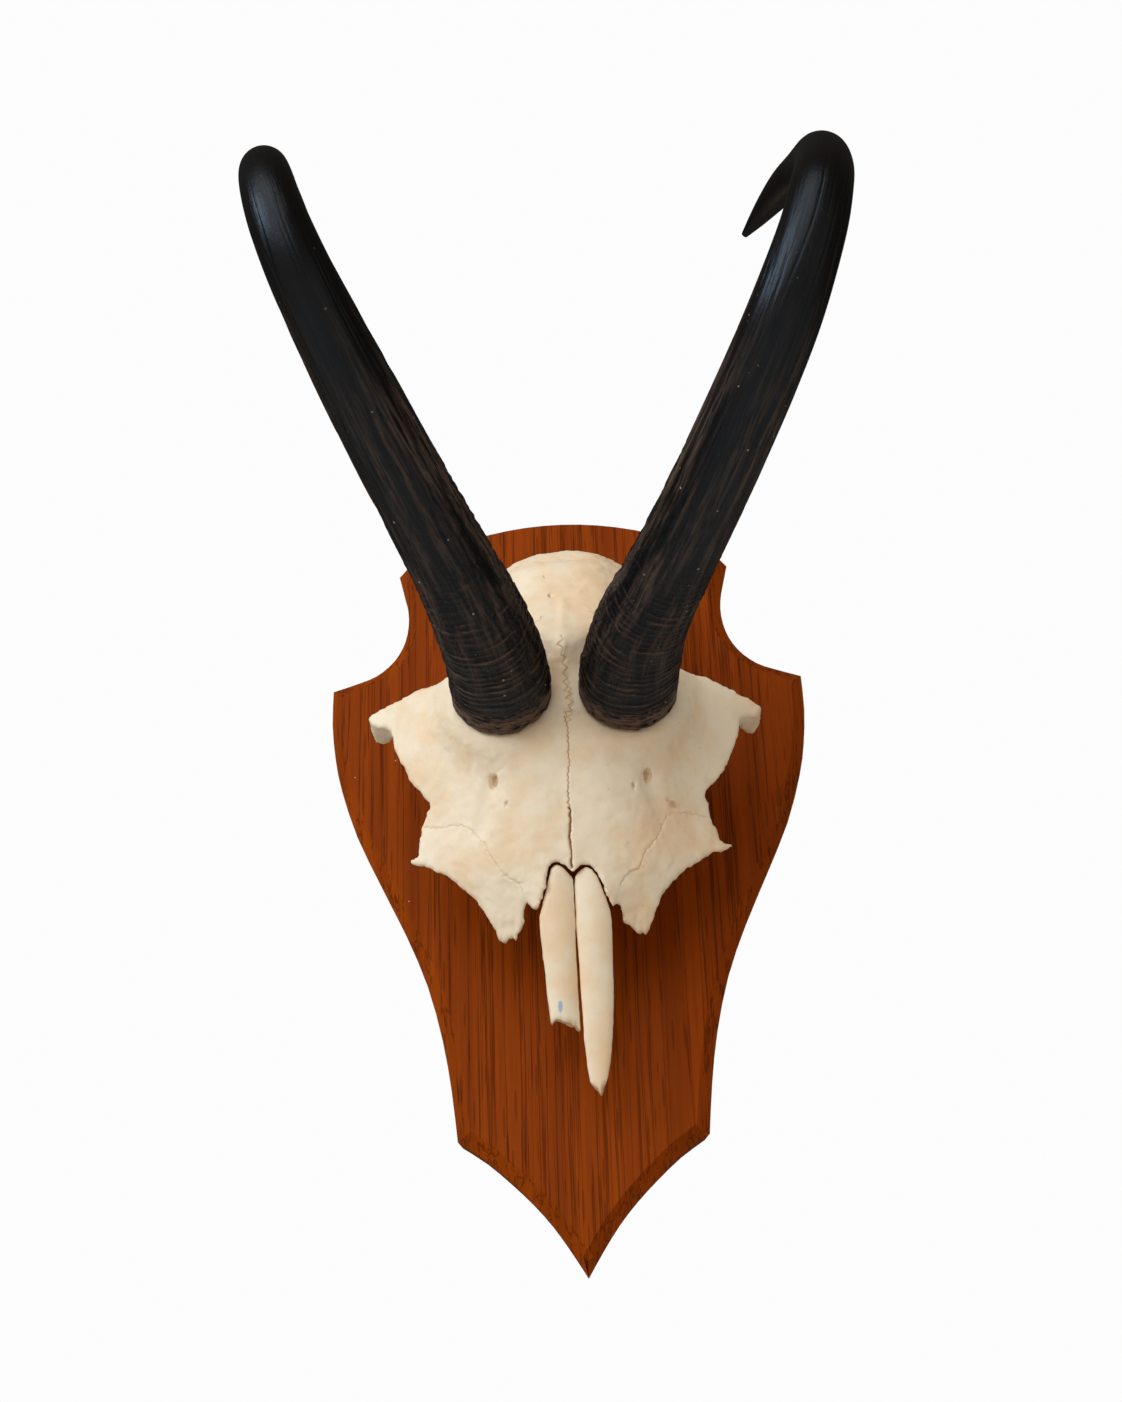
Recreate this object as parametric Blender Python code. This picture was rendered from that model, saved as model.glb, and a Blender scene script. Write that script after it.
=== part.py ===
"""Chamois horn mount: two horns and a cut skull cap on a shield-shaped wooden plaque.

Run with: blender --background --python part.py

Frame: metres, +Z up, +X to the viewer's right. The plaque's flat back lies on the wall at y = 0
and everything stands out from it towards -Y. The origin is on that back, on the shield's
middle line, at the height of its widest place. Shapes are written in millimetres, and a height
is measured out from the plaque's front face.
"""
import math

import bmesh
import bpy
from mathutils import Vector, geometry

MM = 0.001
GAP = 0.3

# The plaque
PLAQUE_THICKNESS = 16.0
ARCH_RADIUS = 88.4
ARCH_CENTRE_Z = -28.5
EAR_X = 49.2
CHAMFER_WIDTH = 3.6
CHAMFER_DEPTH = 3.0
# The plaque's back is smaller by this share about this height, so its edge leans inward
BACK_SHARE = 0.98
BACK_CENTRE_Z = -40.0
SCALLOP = [(49.2, 45.0), (47.5, 38.2), (46.4, 30.6), (47.4, 23.0), (50.6, 16.6),
           (55.8, 11.8), (62.0, 9.2), (68.4, 7.0)]
SHIELD_SIDE = [(68.4, 7.0), (68.5, -4.0), (67.4, -15.0), (65.4, -25.0), (60.8, -39.5),
               (54.0, -54.5), (46.8, -69.8), (41.0, -84.5), (37.0, -100.0), (34.7, -114.0),
               (33.2, -127.7)]
SHIELD_FOOT = [(33.2, -127.7), (26.5, -132.3), (20.1, -138.0), (14.1, -144.0), (8.9, -150.2),
               (4.1, -157.3), (0.0, -164.0)]

# The keyhole hanger let into the plaque's back
HANGER_Z = 33.0
HANGER_LENGTH = 40.0
HANGER_WIDTH = 15.0
HANGER_THICKNESS = 1.2
HANGER_RECESS = 1.8
KEYHOLE_RADIUS = 4.2
KEYHOLE_SLOT_RADIUS = 2.1
KEYHOLE_RISE = 8.0
KEYHOLE_POCKET_DEPTH = 9.0
HANGER_SCREW_OFFSET = 15.5
HANGER_SCREW_HEAD_RADIUS = 2.7
HANGER_SCREW_SHANK_RADIUS = 1.3
HANGER_SCREW_LENGTH = 12.0

# The two screws that hold the skull from behind
SKULL_SCREW_X = 28.0
SKULL_SCREW_Z = 5.0
SKULL_SCREW_HEAD_RADIUS = 3.8
SKULL_SCREW_SHANK_RADIUS = 1.7
SKULL_SCREW_REACH = 6.0

# The skull cap: height of its crown along the middle line, as (z, height)
CROWN = [(-90, 28.0), (-76, 34.3), (-67, 38.0), (-58, 41.5), (-48, 45.0), (-30, 49.5),
         (-12, 50.5), (0, 47.5), (10, 43.0), (22, 38.4), (34, 36.0), (42, 35.0)]
# How far the bone falls from the crown towards its sides, as (distance from the middle, drop)
SIDE_DROP = [(0, 0.0), (10, 0.9), (20, 4.6), (30, 10.5), (40, 15.0), (50, 18.6), (58, 22.0)]
CASE_CENTRE_Z = 8.0
CASE_RADIUS = 32.0
CASE_ROUNDNESS = 2.3
CASE_FOOT_HEIGHT = 1.5
CASE_RIM_REACH = 0.74
# The inner walls of the eye sockets, down to the board, as (z, distance from the middle line)
SOCKET_WALL = [(-56.0, 20.0), (-47.0, 17.0), (-37.0, 15.8), (-26.0, 17.0), (-15.0, 21.0),
               (-7.0, 25.2)]
SOCKET_WALL_HALF = 1.3
SOCKET_WALL_SLOPE = 0.6
BONE_THICKNESS = 3.0
BONE_EDGE = 1.7
SKULL_GRID = 3.0

# Edges of the skull cap as (x, z): the right side from the braincase round the eye socket and
# the broken snout to the middle line, and the left side from the middle line back up
RIGHT_EDGE = [(32.0, -3.0), (33.6, -8.6), (38.1, -12.7), (44.3, -15.5), (49.4, -17.8),
              (52.9, -19.4), (51.4, -22.2), (46.4, -23.2), (45.8, -26.2), (45.0, -29.7),
              (43.1, -33.8), (41.7, -37.4), (38.9, -41.3), (35.0, -45.0), (36.3, -48.0),
              (36.5, -51.1), (38.2, -54.3), (38.8, -57.4), (42.5, -58.5), (39.6, -59.9),
              (36.5, -60.7), (32.8, -63.3), (28.0, -66.6), (25.4, -68.9), (23.2, -71.3),
              (21.7, -74.5), (20.0, -78.4), (18.6, -81.2), (16.1, -81.6), (14.5, -80.1),
              (12.1, -79.6), (12.0, -76.7), (11.4, -74.2), (10.6, -75.0), (9.4, -76.6),
              (8.1, -74.3), (7.2, -71.7), (6.0, -68.9), (4.7, -67.3), (3.0, -66.6), (1.0, -67.3)]
LEFT_EDGE = [(-0.4, -68.6), (-1.6, -67.6), (-3.2, -66.4), (-4.7, -65.7), (-6.4, -66.5),
             (-7.0, -68.4), (-7.6, -71.2), (-8.7, -74.1), (-10.1, -76.5), (-12.4, -74.6), (-13.2, -72.9),
             (-13.6, -75.3), (-13.5, -79.0), (-15.0, -80.1), (-15.9, -81.9), (-17.5, -81.3),
             (-19.0, -82.6), (-20.9, -80.0), (-22.4, -77.5), (-24.2, -74.4), (-26.6, -70.9),
             (-29.7, -68.1), (-33.6, -64.7), (-37.6, -62.3), (-41.8, -60.7), (-45.1, -59.3),
             (-40.6, -59.0), (-41.2, -56.5), (-40.9, -53.8), (-39.9, -50.4), (-39.0, -47.8),
             (-37.5, -45.7), (-39.9, -42.5), (-42.9, -38.4), (-45.0, -34.4), (-47.1, -29.4),
             (-48.1, -24.6), (-48.6, -22.6), (-53.5, -21.2), (-54.8, -17.8), (-47.6, -15.3),
             (-41.2, -12.6), (-35.6, -9.6), (-32.0, -3.0)]
BROW_STUBS = [(50.3, -21.6), (-51.8, -20.4)]
BROW_STUB_DEPTH = 10.0
# The vessel holes over the eyes as (x, z, radius), each with the groove that runs down from it
BROW_HOLES = [(20.2, -43.0, 1.3), (-20.7, -43.0, 1.4), (16.3, -46.7, 0.8), (-17.3, -50.0, 0.7)]
BROW_GROOVES = [((20.6, -45.0), (23.3, -57.0)), ((-21.2, -45.0), (-24.0, -56.0))]

# The nasal bones as (x, z) outlines, and their slope down from the forehead
NASAL_TOP_HEIGHT = 37.2
NASAL_TOP_Z = -66.0
NASAL_SLOPE = 0.40
NASAL_MIDDLE_X = 4.5
NASAL_THICKNESS = 2.6
NASAL_GRID = 3.2
NASAL_LEFT = [(-0.8, -69.3), (-1.9, -68.3), (-3.2, -67.0), (-4.6, -66.2), (-5.9, -67.1),
              (-6.5, -69.1), (-7.2, -71.7), (-8.2, -74.7), (-9.3, -77.9), (-9.2, -83.0), (-8.7, -90.0),
              (-8.1, -98.0), (-7.4, -104.1), (-5.9, -102.8), (-2.8, -104.5), (0.1, -105.4),
              (-0.1, -96.7), (-0.5, -86.0), (-0.6, -75.4)]
NASAL_RIGHT = [(1.1, -67.9), (0.3, -69.0), (0.1, -70.6), (0.1, -81.7), (0.5, -95.0), (1.0, -108.3),
               (1.5, -114.3), (2.2, -118.1), (3.5, -119.8), (5.1, -121.0), (6.4, -117.8),
               (7.7, -112.8), (8.7, -103.4), (9.1, -94.9), (9.0, -86.3), (8.9, -79.6),
               (8.6, -77.2), (7.7, -74.6), (6.7, -71.9), (5.5, -69.3), (4.3, -67.8), (3.0, -67.1)]

# The horns: middle line and radius as (x, height, z, radius), from the base to the tip
HORN_RIGHT = [(15.7, 46.5, -21.1, 13.1), (16.6, 60.2, -19.6, 12.6), (19.6, 79.6, -17.6, 11.4),
              (24.9, 97.4, -15.5, 10.3), (33.7, 125.3, -10.4, 9.6), (39.4, 139.9, -4.7, 9.3),
              (45.8, 154.6, 3.3, 8.9), (51.2, 166.3, 11.8, 8.4), (56.7, 174.4, 24.6, 7.6),
              (59.4, 176.3, 34.4, 7.2), (61.5, 172.0, 45.0, 6.7),
              (62.0, 164.5, 54.8, 5.9), (59.6, 154.5, 60.5, 4.7), (56.5, 146.0, 63.2, 4.1),
              (53.1, 138.0, 64.0, 3.1), (50.0, 132.0, 63.6, 1.9), (47.6, 128.0, 62.9, 0.8)]
HORN_LEFT = [(-17.6, 46.5, -21.0, 13.2), (-18.5, 61.3, -19.1, 12.7), (-21.7, 80.1, -16.9, 11.8),
             (-25.9, 96.8, -14.1, 10.6), (-33.4, 121.3, -8.9, 9.7), (-38.7, 136.3, -4.3, 9.2),
             (-44.6, 152.0, 1.8, 8.7), (-49.6, 164.5, 7.7, 8.1), (-55.5, 175.6, 17.1, 7.3),
             (-60.2, 180.3, 28.5, 6.7), (-63.4, 178.7, 41.2, 6.1), (-64.9, 170.9, 51.2, 5.2),
             (-64.3, 159.9, 58.2, 3.9), (-61.8, 149.5, 59.9, 2.5), (-58.5, 140.4, 58.2, 1.0)]
HORN_SIDES = 18
RING_COUNT = 11
RING_FIRST = 3.0
RING_SPACING = 5.2
RING_RELIEF = 0.4
SHAFT_STEP = 6.9

# Finishes as (colour, roughness, metallic)
WALNUT = ((0.24, 0.062, 0.012), 0.42, 0.0)
BONE = ((0.76, 0.66, 0.49), 0.6, 0.0)
HORN = ((0.018, 0.015, 0.013), 0.38, 0.0)
STEEL = ((0.55, 0.54, 0.50), 0.35, 1.0)


def clear_scene():
    """Remove whatever the file holds."""
    for thing in list(bpy.data.objects):
        bpy.data.objects.remove(thing, do_unlink=True)


def material(name, finish):
    """One plain material from a (colour, roughness, metallic) finish."""
    colour, roughness, metallic = finish
    made = bpy.data.materials.new(name)
    made.use_nodes = True
    shader = made.node_tree.nodes["Principled BSDF"]
    shader.inputs["Base Color"].default_value = (*colour, 1.0)
    shader.inputs["Roughness"].default_value = roughness
    shader.inputs["Metallic"].default_value = metallic
    return made


def place(x, height, z):
    """A point of the model from its millimetres, with height out from the plaque's front."""
    return Vector((x * MM, -(PLAQUE_THICKNESS + height) * MM, z * MM))


def smooth_step(low, high, value):
    """0 below low, 1 above high and a soft curve between."""
    t = min(1.0, max(0.0, (value - low) / (high - low)))
    return t * t * (3.0 - 2.0 * t)


def through(knots, value):
    """Smooth curve through (place, value) knots, level beyond its ends."""
    if value <= knots[0][0]:
        return knots[0][1]
    if value >= knots[-1][0]:
        return knots[-1][1]
    i = max(k for k in range(len(knots) - 1) if knots[k][0] <= value)
    (a, start), (b, end) = knots[i], knots[i + 1]
    slope = (end - start) / (b - a)
    before = slope
    after = slope
    if i > 0:
        before = (end - knots[i - 1][1]) / (b - knots[i - 1][0])
    if i + 2 < len(knots):
        after = (knots[i + 2][1] - start) / (knots[i + 2][0] - a)
    t = (value - a) / (b - a)
    return ((2 * t**3 - 3 * t**2 + 1) * start + (t**3 - 2 * t**2 + t) * (b - a) * before
            + (3 * t**2 - 2 * t**3) * end + (t**3 - t**2) * (b - a) * after)


def spline(points, spans):
    """Points of a smooth curve through the given ones, of any length, spans to a stretch."""
    result = []
    last = len(points) - 1
    for i in range(last):
        p = [points[max(i - 1, 0)], points[i], points[i + 1], points[min(i + 2, last)]]
        for k in range(spans):
            t = k / spans
            weights = (-0.5 * t + t**2 - 0.5 * t**3, 1 - 2.5 * t**2 + 1.5 * t**3,
                       0.5 * t + 2 * t**2 - 1.5 * t**3, -0.5 * t**2 + 0.5 * t**3)
            result.append(tuple(sum(w * q[axis] for w, q in zip(weights, p))
                                for axis in range(len(points[0]))))
    result.append(tuple(points[last]))
    return result


def make_object(name, vertices, faces, finish, smooth_angle=None):
    """A mesh object with outward faces, shaded smooth below the angle given in degrees."""
    mesh = bpy.data.meshes.new(name)
    mesh.from_pydata(vertices, [], faces)
    body = bmesh.new()
    body.from_mesh(mesh)
    bmesh.ops.recalc_face_normals(body, faces=body.faces)
    body.to_mesh(mesh)
    body.free()
    if smooth_angle:
        mesh.shade_smooth()
        mesh.set_sharp_from_angle(angle=math.radians(smooth_angle))
    thing = bpy.data.objects.new(name, mesh)
    thing.data.materials.append(finish)
    bpy.context.collection.objects.link(thing)
    return thing


def stack(name, rings, finish, smooth_angle=None):
    """A closed solid from rings of the same number of points, one after another."""
    count = len(rings[0])
    faces = [tuple(range(count)), tuple(range((len(rings) - 1) * count, len(rings) * count))]
    for row in range(len(rings) - 1):
        for k in range(count):
            a = row * count + k
            b = row * count + (k + 1) % count
            faces.append((a, b, b + count, a + count))
    return make_object(name, [point for ring in rings for point in ring], faces, finish,
                       smooth_angle)


def turned(name, profile, x, z, finish, sides=14):
    """A solid turned about the line along Y at (x, z), from (y, radius) pairs in millimetres."""
    rings = []
    for y, radius in profile:
        angles = [2 * math.pi * k / sides for k in range(sides)]
        rings.append([Vector(((x + radius * math.cos(a)) * MM, y * MM,
                              (z + radius * math.sin(a)) * MM)) for a in angles])
    return stack(name, rings, finish, 30)


def slotted(name, outline, y_near, y_far, finish):
    """A flat solid with an (x, z) outline between two distances from the wall."""
    rings = [[Vector((x * MM, y * MM, z * MM)) for x, z in outline] for y in (y_near, y_far)]
    return stack(name, rings, finish)


def cut(thing, cutters):
    """Take the cutters out of a solid and hide them."""
    for tool in cutters:
        step = thing.modifiers.new(tool.name, "BOOLEAN")
        step.operation = "DIFFERENCE"
        step.solver = "EXACT"
        step.object = tool
        tool.hide_render = True
        tool.display_type = "WIRE"


def capsule(radius, low, high, sides=8):
    """Outline with round ends, upright on the middle line, from the centres of its ends."""
    top = [(radius * math.cos(math.pi * k / sides), high + radius * math.sin(math.pi * k / sides))
           for k in range(sides + 1)]
    bottom = [(-x, low - (z - high)) for x, z in top]
    return top + bottom


def shield_outline():
    """The plaque's outline as (x, z, chamfer width of the edge that starts there)."""
    steps = 9
    arch = []
    for k in range(steps):
        x = EAR_X * k / steps
        arch.append((x, ARCH_CENTRE_Z + math.sqrt(ARCH_RADIUS**2 - x**2), 0.0))
    edge = spline(SCALLOP, 3)[:-1] + spline(SHIELD_SIDE, 2)[:-1] + spline(SHIELD_FOOT, 2)[:-1]
    right = arch + [(x, z, CHAMFER_WIDTH) for x, z in edge]
    tip = [(0.0, SHIELD_FOOT[-1][1], CHAMFER_WIDTH)]
    left = []
    for i in range(len(right) - 1, 0, -1):
        left.append((-right[i][0], right[i][1], right[i - 1][2]))
    return right + tip + left


def inset(outline):
    """The outline moved in by each edge's own chamfer width, with mitred corners."""
    moved = []
    count = len(outline)
    for i in range(count):
        before, here, after = outline[i - 1], outline[i], outline[(i + 1) % count]
        normals = []
        for start, end in ((before, here), (here, after)):
            run = (end[0] - start[0], end[1] - start[1])
            size = math.hypot(*run)
            normals.append((run[1] / size, -run[0] / size, start[2]))
        (ax, az, aw), (bx, bz, bw) = normals
        spread = ax * bz - az * bx
        if abs(spread) < 1e-3:
            moved.append((here[0] + ax * aw, here[1] + az * aw))
            continue
        moved.append((here[0] + (aw * bz - bw * az) / spread,
                      here[1] + (ax * bw - bx * aw) / spread))
    return moved


def build_plaque(finish):
    """The wooden shield with its chamfer, its bores and the hanger's recess."""
    outline = shield_outline()
    face = inset(outline)
    shoulder = -(PLAQUE_THICKNESS - CHAMFER_DEPTH)
    rings = [[Vector((x * BACK_SHARE * MM, 0.0,
                      (BACK_CENTRE_Z + (z - BACK_CENTRE_Z) * BACK_SHARE) * MM))
              for x, z, _ in outline],
             [Vector((x * MM, shoulder * MM, z * MM)) for x, z, _ in outline],
             [Vector((x * MM, -PLAQUE_THICKNESS * MM, z * MM)) for x, z in face]]
    plaque = stack("plaque", rings, finish)
    low = HANGER_Z - HANGER_LENGTH / 2 + HANGER_WIDTH / 2
    high = HANGER_Z + HANGER_LENGTH / 2 - HANGER_WIDTH / 2
    keyhole_low = HANGER_Z - KEYHOLE_RISE / 2
    cutters = [slotted("cut_hanger", capsule(HANGER_WIDTH / 2 + GAP, low, high), 1.0,
                       -HANGER_RECESS, finish),
               slotted("cut_nail_room", capsule(KEYHOLE_RADIUS + 1.0, keyhole_low,
                                                keyhole_low + KEYHOLE_RISE), 1.0,
                       -KEYHOLE_POCKET_DEPTH, finish)]
    for k, z in enumerate(hanger_screw_heights()):
        radius = HANGER_SCREW_SHANK_RADIUS + GAP
        cutters.append(turned(f"cut_hanger_screw_{k}", [(1.0, radius), (-HANGER_SCREW_LENGTH
                              - 2 * GAP, radius)], 0.0, z, finish, 12))
    for side in (-1, 1):
        profile = skull_screw_profile(GAP)
        profile = [(1.0, profile[0][1])] + profile[:-1] + [(-30.0, profile[-1][1])]
        cutters.append(turned(f"cut_skull_screw_{side + 1}", profile, side * SKULL_SCREW_X,
                              SKULL_SCREW_Z, finish))
    cut(plaque, cutters)


def hanger_screw_heights():
    """Where the hanger's two screws sit above the origin."""
    return (HANGER_Z + HANGER_SCREW_OFFSET, HANGER_Z - HANGER_SCREW_OFFSET)


def countersunk(head, shank, top, length, extra):
    """Profile of a countersunk screw as (y, radius), from its head, grown by extra all round."""
    depth = head - shank
    return [(-top + extra, head + extra), (-top - 0.3, head + extra),
            (-top - 0.3 - depth, shank + extra), (-length - extra, shank + extra)]


def skull_screw_profile(extra):
    """Profile of a screw that holds the skull, grown by extra for its bore."""
    return countersunk(SKULL_SCREW_HEAD_RADIUS, SKULL_SCREW_SHANK_RADIUS, 0.4,
                       PLAQUE_THICKNESS + SKULL_SCREW_REACH, extra)


def build_screws(finish):
    """The hanger's two screws and the two that go through the plaque into the skull."""
    for name, z in zip(("hanger_screw_upper", "hanger_screw_lower"), hanger_screw_heights()):
        profile = countersunk(HANGER_SCREW_HEAD_RADIUS, HANGER_SCREW_SHANK_RADIUS, 0.35,
                              HANGER_SCREW_LENGTH, 0.0)
        turned(name, profile, 0.0, z, finish, 12)
    for name, side in (("skull_screw_left", -1), ("skull_screw_right", 1)):
        turned(name, skull_screw_profile(0.0), side * SKULL_SCREW_X, SKULL_SCREW_Z, finish, 12)


def build_hanger(finish):
    """The keyhole plate, flush with the plaque's back."""
    low = HANGER_Z - HANGER_LENGTH / 2 + HANGER_WIDTH / 2
    high = HANGER_Z + HANGER_LENGTH / 2 - HANGER_WIDTH / 2
    plate = slotted("hanger_plate", capsule(HANGER_WIDTH / 2, low, high), -GAP,
                    -GAP - HANGER_THICKNESS, finish)
    keyhole_low = HANGER_Z - KEYHOLE_RISE / 2
    cutters = [turned("cut_keyhole", [(1.0, KEYHOLE_RADIUS), (-4.0, KEYHOLE_RADIUS)], 0.0,
                      keyhole_low, finish),
               slotted("cut_key_slot", capsule(KEYHOLE_SLOT_RADIUS, keyhole_low,
                                               keyhole_low + KEYHOLE_RISE), 1.0, -4.0, finish)]
    for k, z in enumerate(hanger_screw_heights()):
        profile = countersunk(HANGER_SCREW_HEAD_RADIUS, HANGER_SCREW_SHANK_RADIUS, 0.35, 4.0, GAP)
        profile = [(1.0, profile[0][1])] + profile[1:]
        cutters.append(turned(f"cut_plate_screw_{k}", profile, 0.0, z, finish, 12))
    cut(plate, cutters)


def case_reach(x, z):
    """0 on the braincase's middle, 1 on its wall."""
    up = max(0.0, z - CASE_CENTRE_Z)
    power = CASE_ROUNDNESS
    return (abs(x / CASE_RADIUS)**power + abs(up / CASE_RADIUS)**power)**(1 / power)


def case_wall(reach, steps=15):
    """Points round the braincase at one reach, from its right side over the top to its left."""
    points = []
    for k in range(steps + 1):
        angle = math.pi * k / steps
        across, up = math.cos(angle), math.sin(angle)
        size = reach * CASE_RADIUS / (abs(across)**CASE_ROUNDNESS
                                      + abs(up)**CASE_ROUNDNESS)**(1 / CASE_ROUNDNESS)
        points.append((size * across, CASE_CENTRE_Z + size * up))
    return points


def horn_seat(side):
    """Base point and direction of a horn, as (x, height, z) triples."""
    line = HORN_RIGHT if side > 0 else HORN_LEFT
    base, ahead = Vector(line[0][:3]), Vector(line[1][:3])
    return base, (ahead - base).normalized()


def pit(distance, radius, depth):
    """Depth of a round pit at a distance from its middle."""
    return depth * (1.0 - smooth_step(0.5 * radius, 1.4 * radius, distance))


def off_line(point, start, end):
    """Distance of a point from a straight stretch."""
    p, a, b = Vector(point), Vector(start), Vector(end)
    along = b - a
    t = min(1.0, max(0.0, (p - a).dot(along) / along.length_squared))
    return (p - a - along * t).length


def skull_top(x, z):
    """Height of the skull cap's outer face."""
    height = through(CROWN, z)
    height -= through(SIDE_DROP, abs(x)) * (1.0 - 0.15 * smooth_step(-50, -62, z))
    height -= 0.28 * max(0.0, NASAL_TOP_Z - z) * smooth_step(7.0, 14.0, abs(x))
    for hole_x, hole_z, radius in BROW_HOLES:
        height -= pit(math.hypot(x - hole_x, z - hole_z), radius, 1.6)
    for start, end in BROW_GROOVES:
        height -= 0.9 * (1.0 - smooth_step(0.4, 3.2, off_line((x, z), start, end)))
    wall = smooth_step(-13.0, -3.0, z)
    reach = min(1.0, case_reach(x, z))
    dome = CASE_FOOT_HEIGHT + height * math.sqrt(max(0.0, 1.0 - reach**3.6))
    height += (dome - height) * wall
    for side in (-1, 1):
        base, way = horn_seat(side)
        seat = base.y - (way.x * (x - base.x) + way.z * (z - base.z)) / way.y - 1.4 * GAP
        away = math.hypot(x - base.x, z - base.z)
        height += (seat - height) * (1.0 - smooth_step(14.3, 20.0, away))
    return height


def edge_distance(x, z, outline):
    """Distance of a place from the nearest stretch of an outline."""
    return min(off_line((x, z), outline[i - 1], outline[i]) for i in range(len(outline)))


def socket_wall_distance(x, z):
    """Distance of a place, straight across, from the middle of the eye socket's inner wall."""
    return abs(abs(x) - through(SOCKET_WALL, z))


def skull_under(x, z, outline):
    """Height of the skull cap's inner face, or the gap over the plaque at its foot."""
    step = 0.5
    top = skull_top(x, z)
    slope_x = (skull_top(x + step, z) - skull_top(x - step, z)) / (2 * step)
    slope_z = (skull_top(x, z + step) - skull_top(x, z - step)) / (2 * step)
    steep = min(5.0, math.sqrt(1.0 + slope_x**2 + slope_z**2))
    inward = smooth_step(0.0, 6.0, edge_distance(x, z, outline))
    thick = BONE_EDGE + (BONE_THICKNESS - BONE_EDGE) * inward
    for stub_x, stub_z in BROW_STUBS:
        near = 1.0 - smooth_step(2.0, 6.5, math.hypot(x - stub_x, z - stub_z))
        thick += BROW_STUB_DEPTH * near / steep
    under = max(GAP, top - thick * steep)
    rim = smooth_step(CASE_RIM_REACH - 0.06, CASE_RIM_REACH, case_reach(x, z))
    rim *= smooth_step(-9.0, -4.0, z)
    off = socket_wall_distance(x, z)
    wall = 1.0 - smooth_step(SOCKET_WALL_HALF, SOCKET_WALL_HALF + SOCKET_WALL_SLOPE, off)
    wall *= smooth_step(SOCKET_WALL[0][0] - 2.0, SOCKET_WALL[0][0], z)
    wall *= 1.0 - smooth_step(-5.0, -2.0, z)
    return under + (GAP - under) * max(rim, wall)


def inside(x, z, outline):
    """True where a place lies inside a closed outline."""
    hit = False
    for i in range(len(outline)):
        (ax, az), (bx, bz) = outline[i - 1], outline[i]
        if (az > z) != (bz > z) and x < (bx - ax) * (z - az) / (bz - az) + ax:
            hit = not hit
    return hit


def divide(outline, longest):
    """The closed outline with points added along its long stretches."""
    result = []
    for i in range(len(outline)):
        (ax, az), (bx, bz) = outline[i], outline[(i + 1) % len(outline)]
        parts = max(1, round(math.hypot(bx - ax, bz - az) / longest))
        for k in range(parts):
            t = k / parts
            result.append((ax + (bx - ax) * t, az + (bz - az) * t))
    return result


def grid_inside(outline, spacing, keep):
    """Rows of points inside an outline, clear of its edge, where keep agrees."""
    xs = [x for x, _ in outline]
    zs = [z for _, z in outline]
    rise = spacing * math.sqrt(3) / 2
    points = []
    for row in range(int((max(zs) - min(zs)) / rise) + 1):
        z = min(zs) + row * rise
        for column in range(int((max(xs) - min(xs)) / spacing) + 2):
            x = min(xs) + (column + 0.5 * (row % 2)) * spacing
            if inside(x, z, outline) and keep(x, z) \
                    and edge_distance(x, z, outline) > 0.5 * spacing:
                points.append((x, z))
    return points


def sheet_solid(name, outline, points, top, under, finish):
    """A closed solid between two height functions over an (x, z) outline."""
    flat = [Vector(p) for p in outline + points]
    border = list(range(len(outline)))
    found = geometry.delaunay_2d_cdt(flat, [], [border], 1, 1e-6)
    places, triangles = found[0], found[2]
    count = len(places)
    vertices = [place(p.x, top(p.x, p.y), p.y) for p in places]
    vertices += [place(p.x, under(p.x, p.y), p.y) for p in places]
    faces = [tuple(t) for t in triangles]
    faces += [tuple(count + v for v in reversed(t)) for t in triangles]
    sides = {}
    for t in triangles:
        for k in range(3):
            sides[(t[k], t[(k + 1) % 3])] = True
    for a, b in sides:
        if (b, a) not in sides:
            faces.append((b, a, count + a, count + b))
    return make_object(name, vertices, faces, finish, 40)


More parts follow.
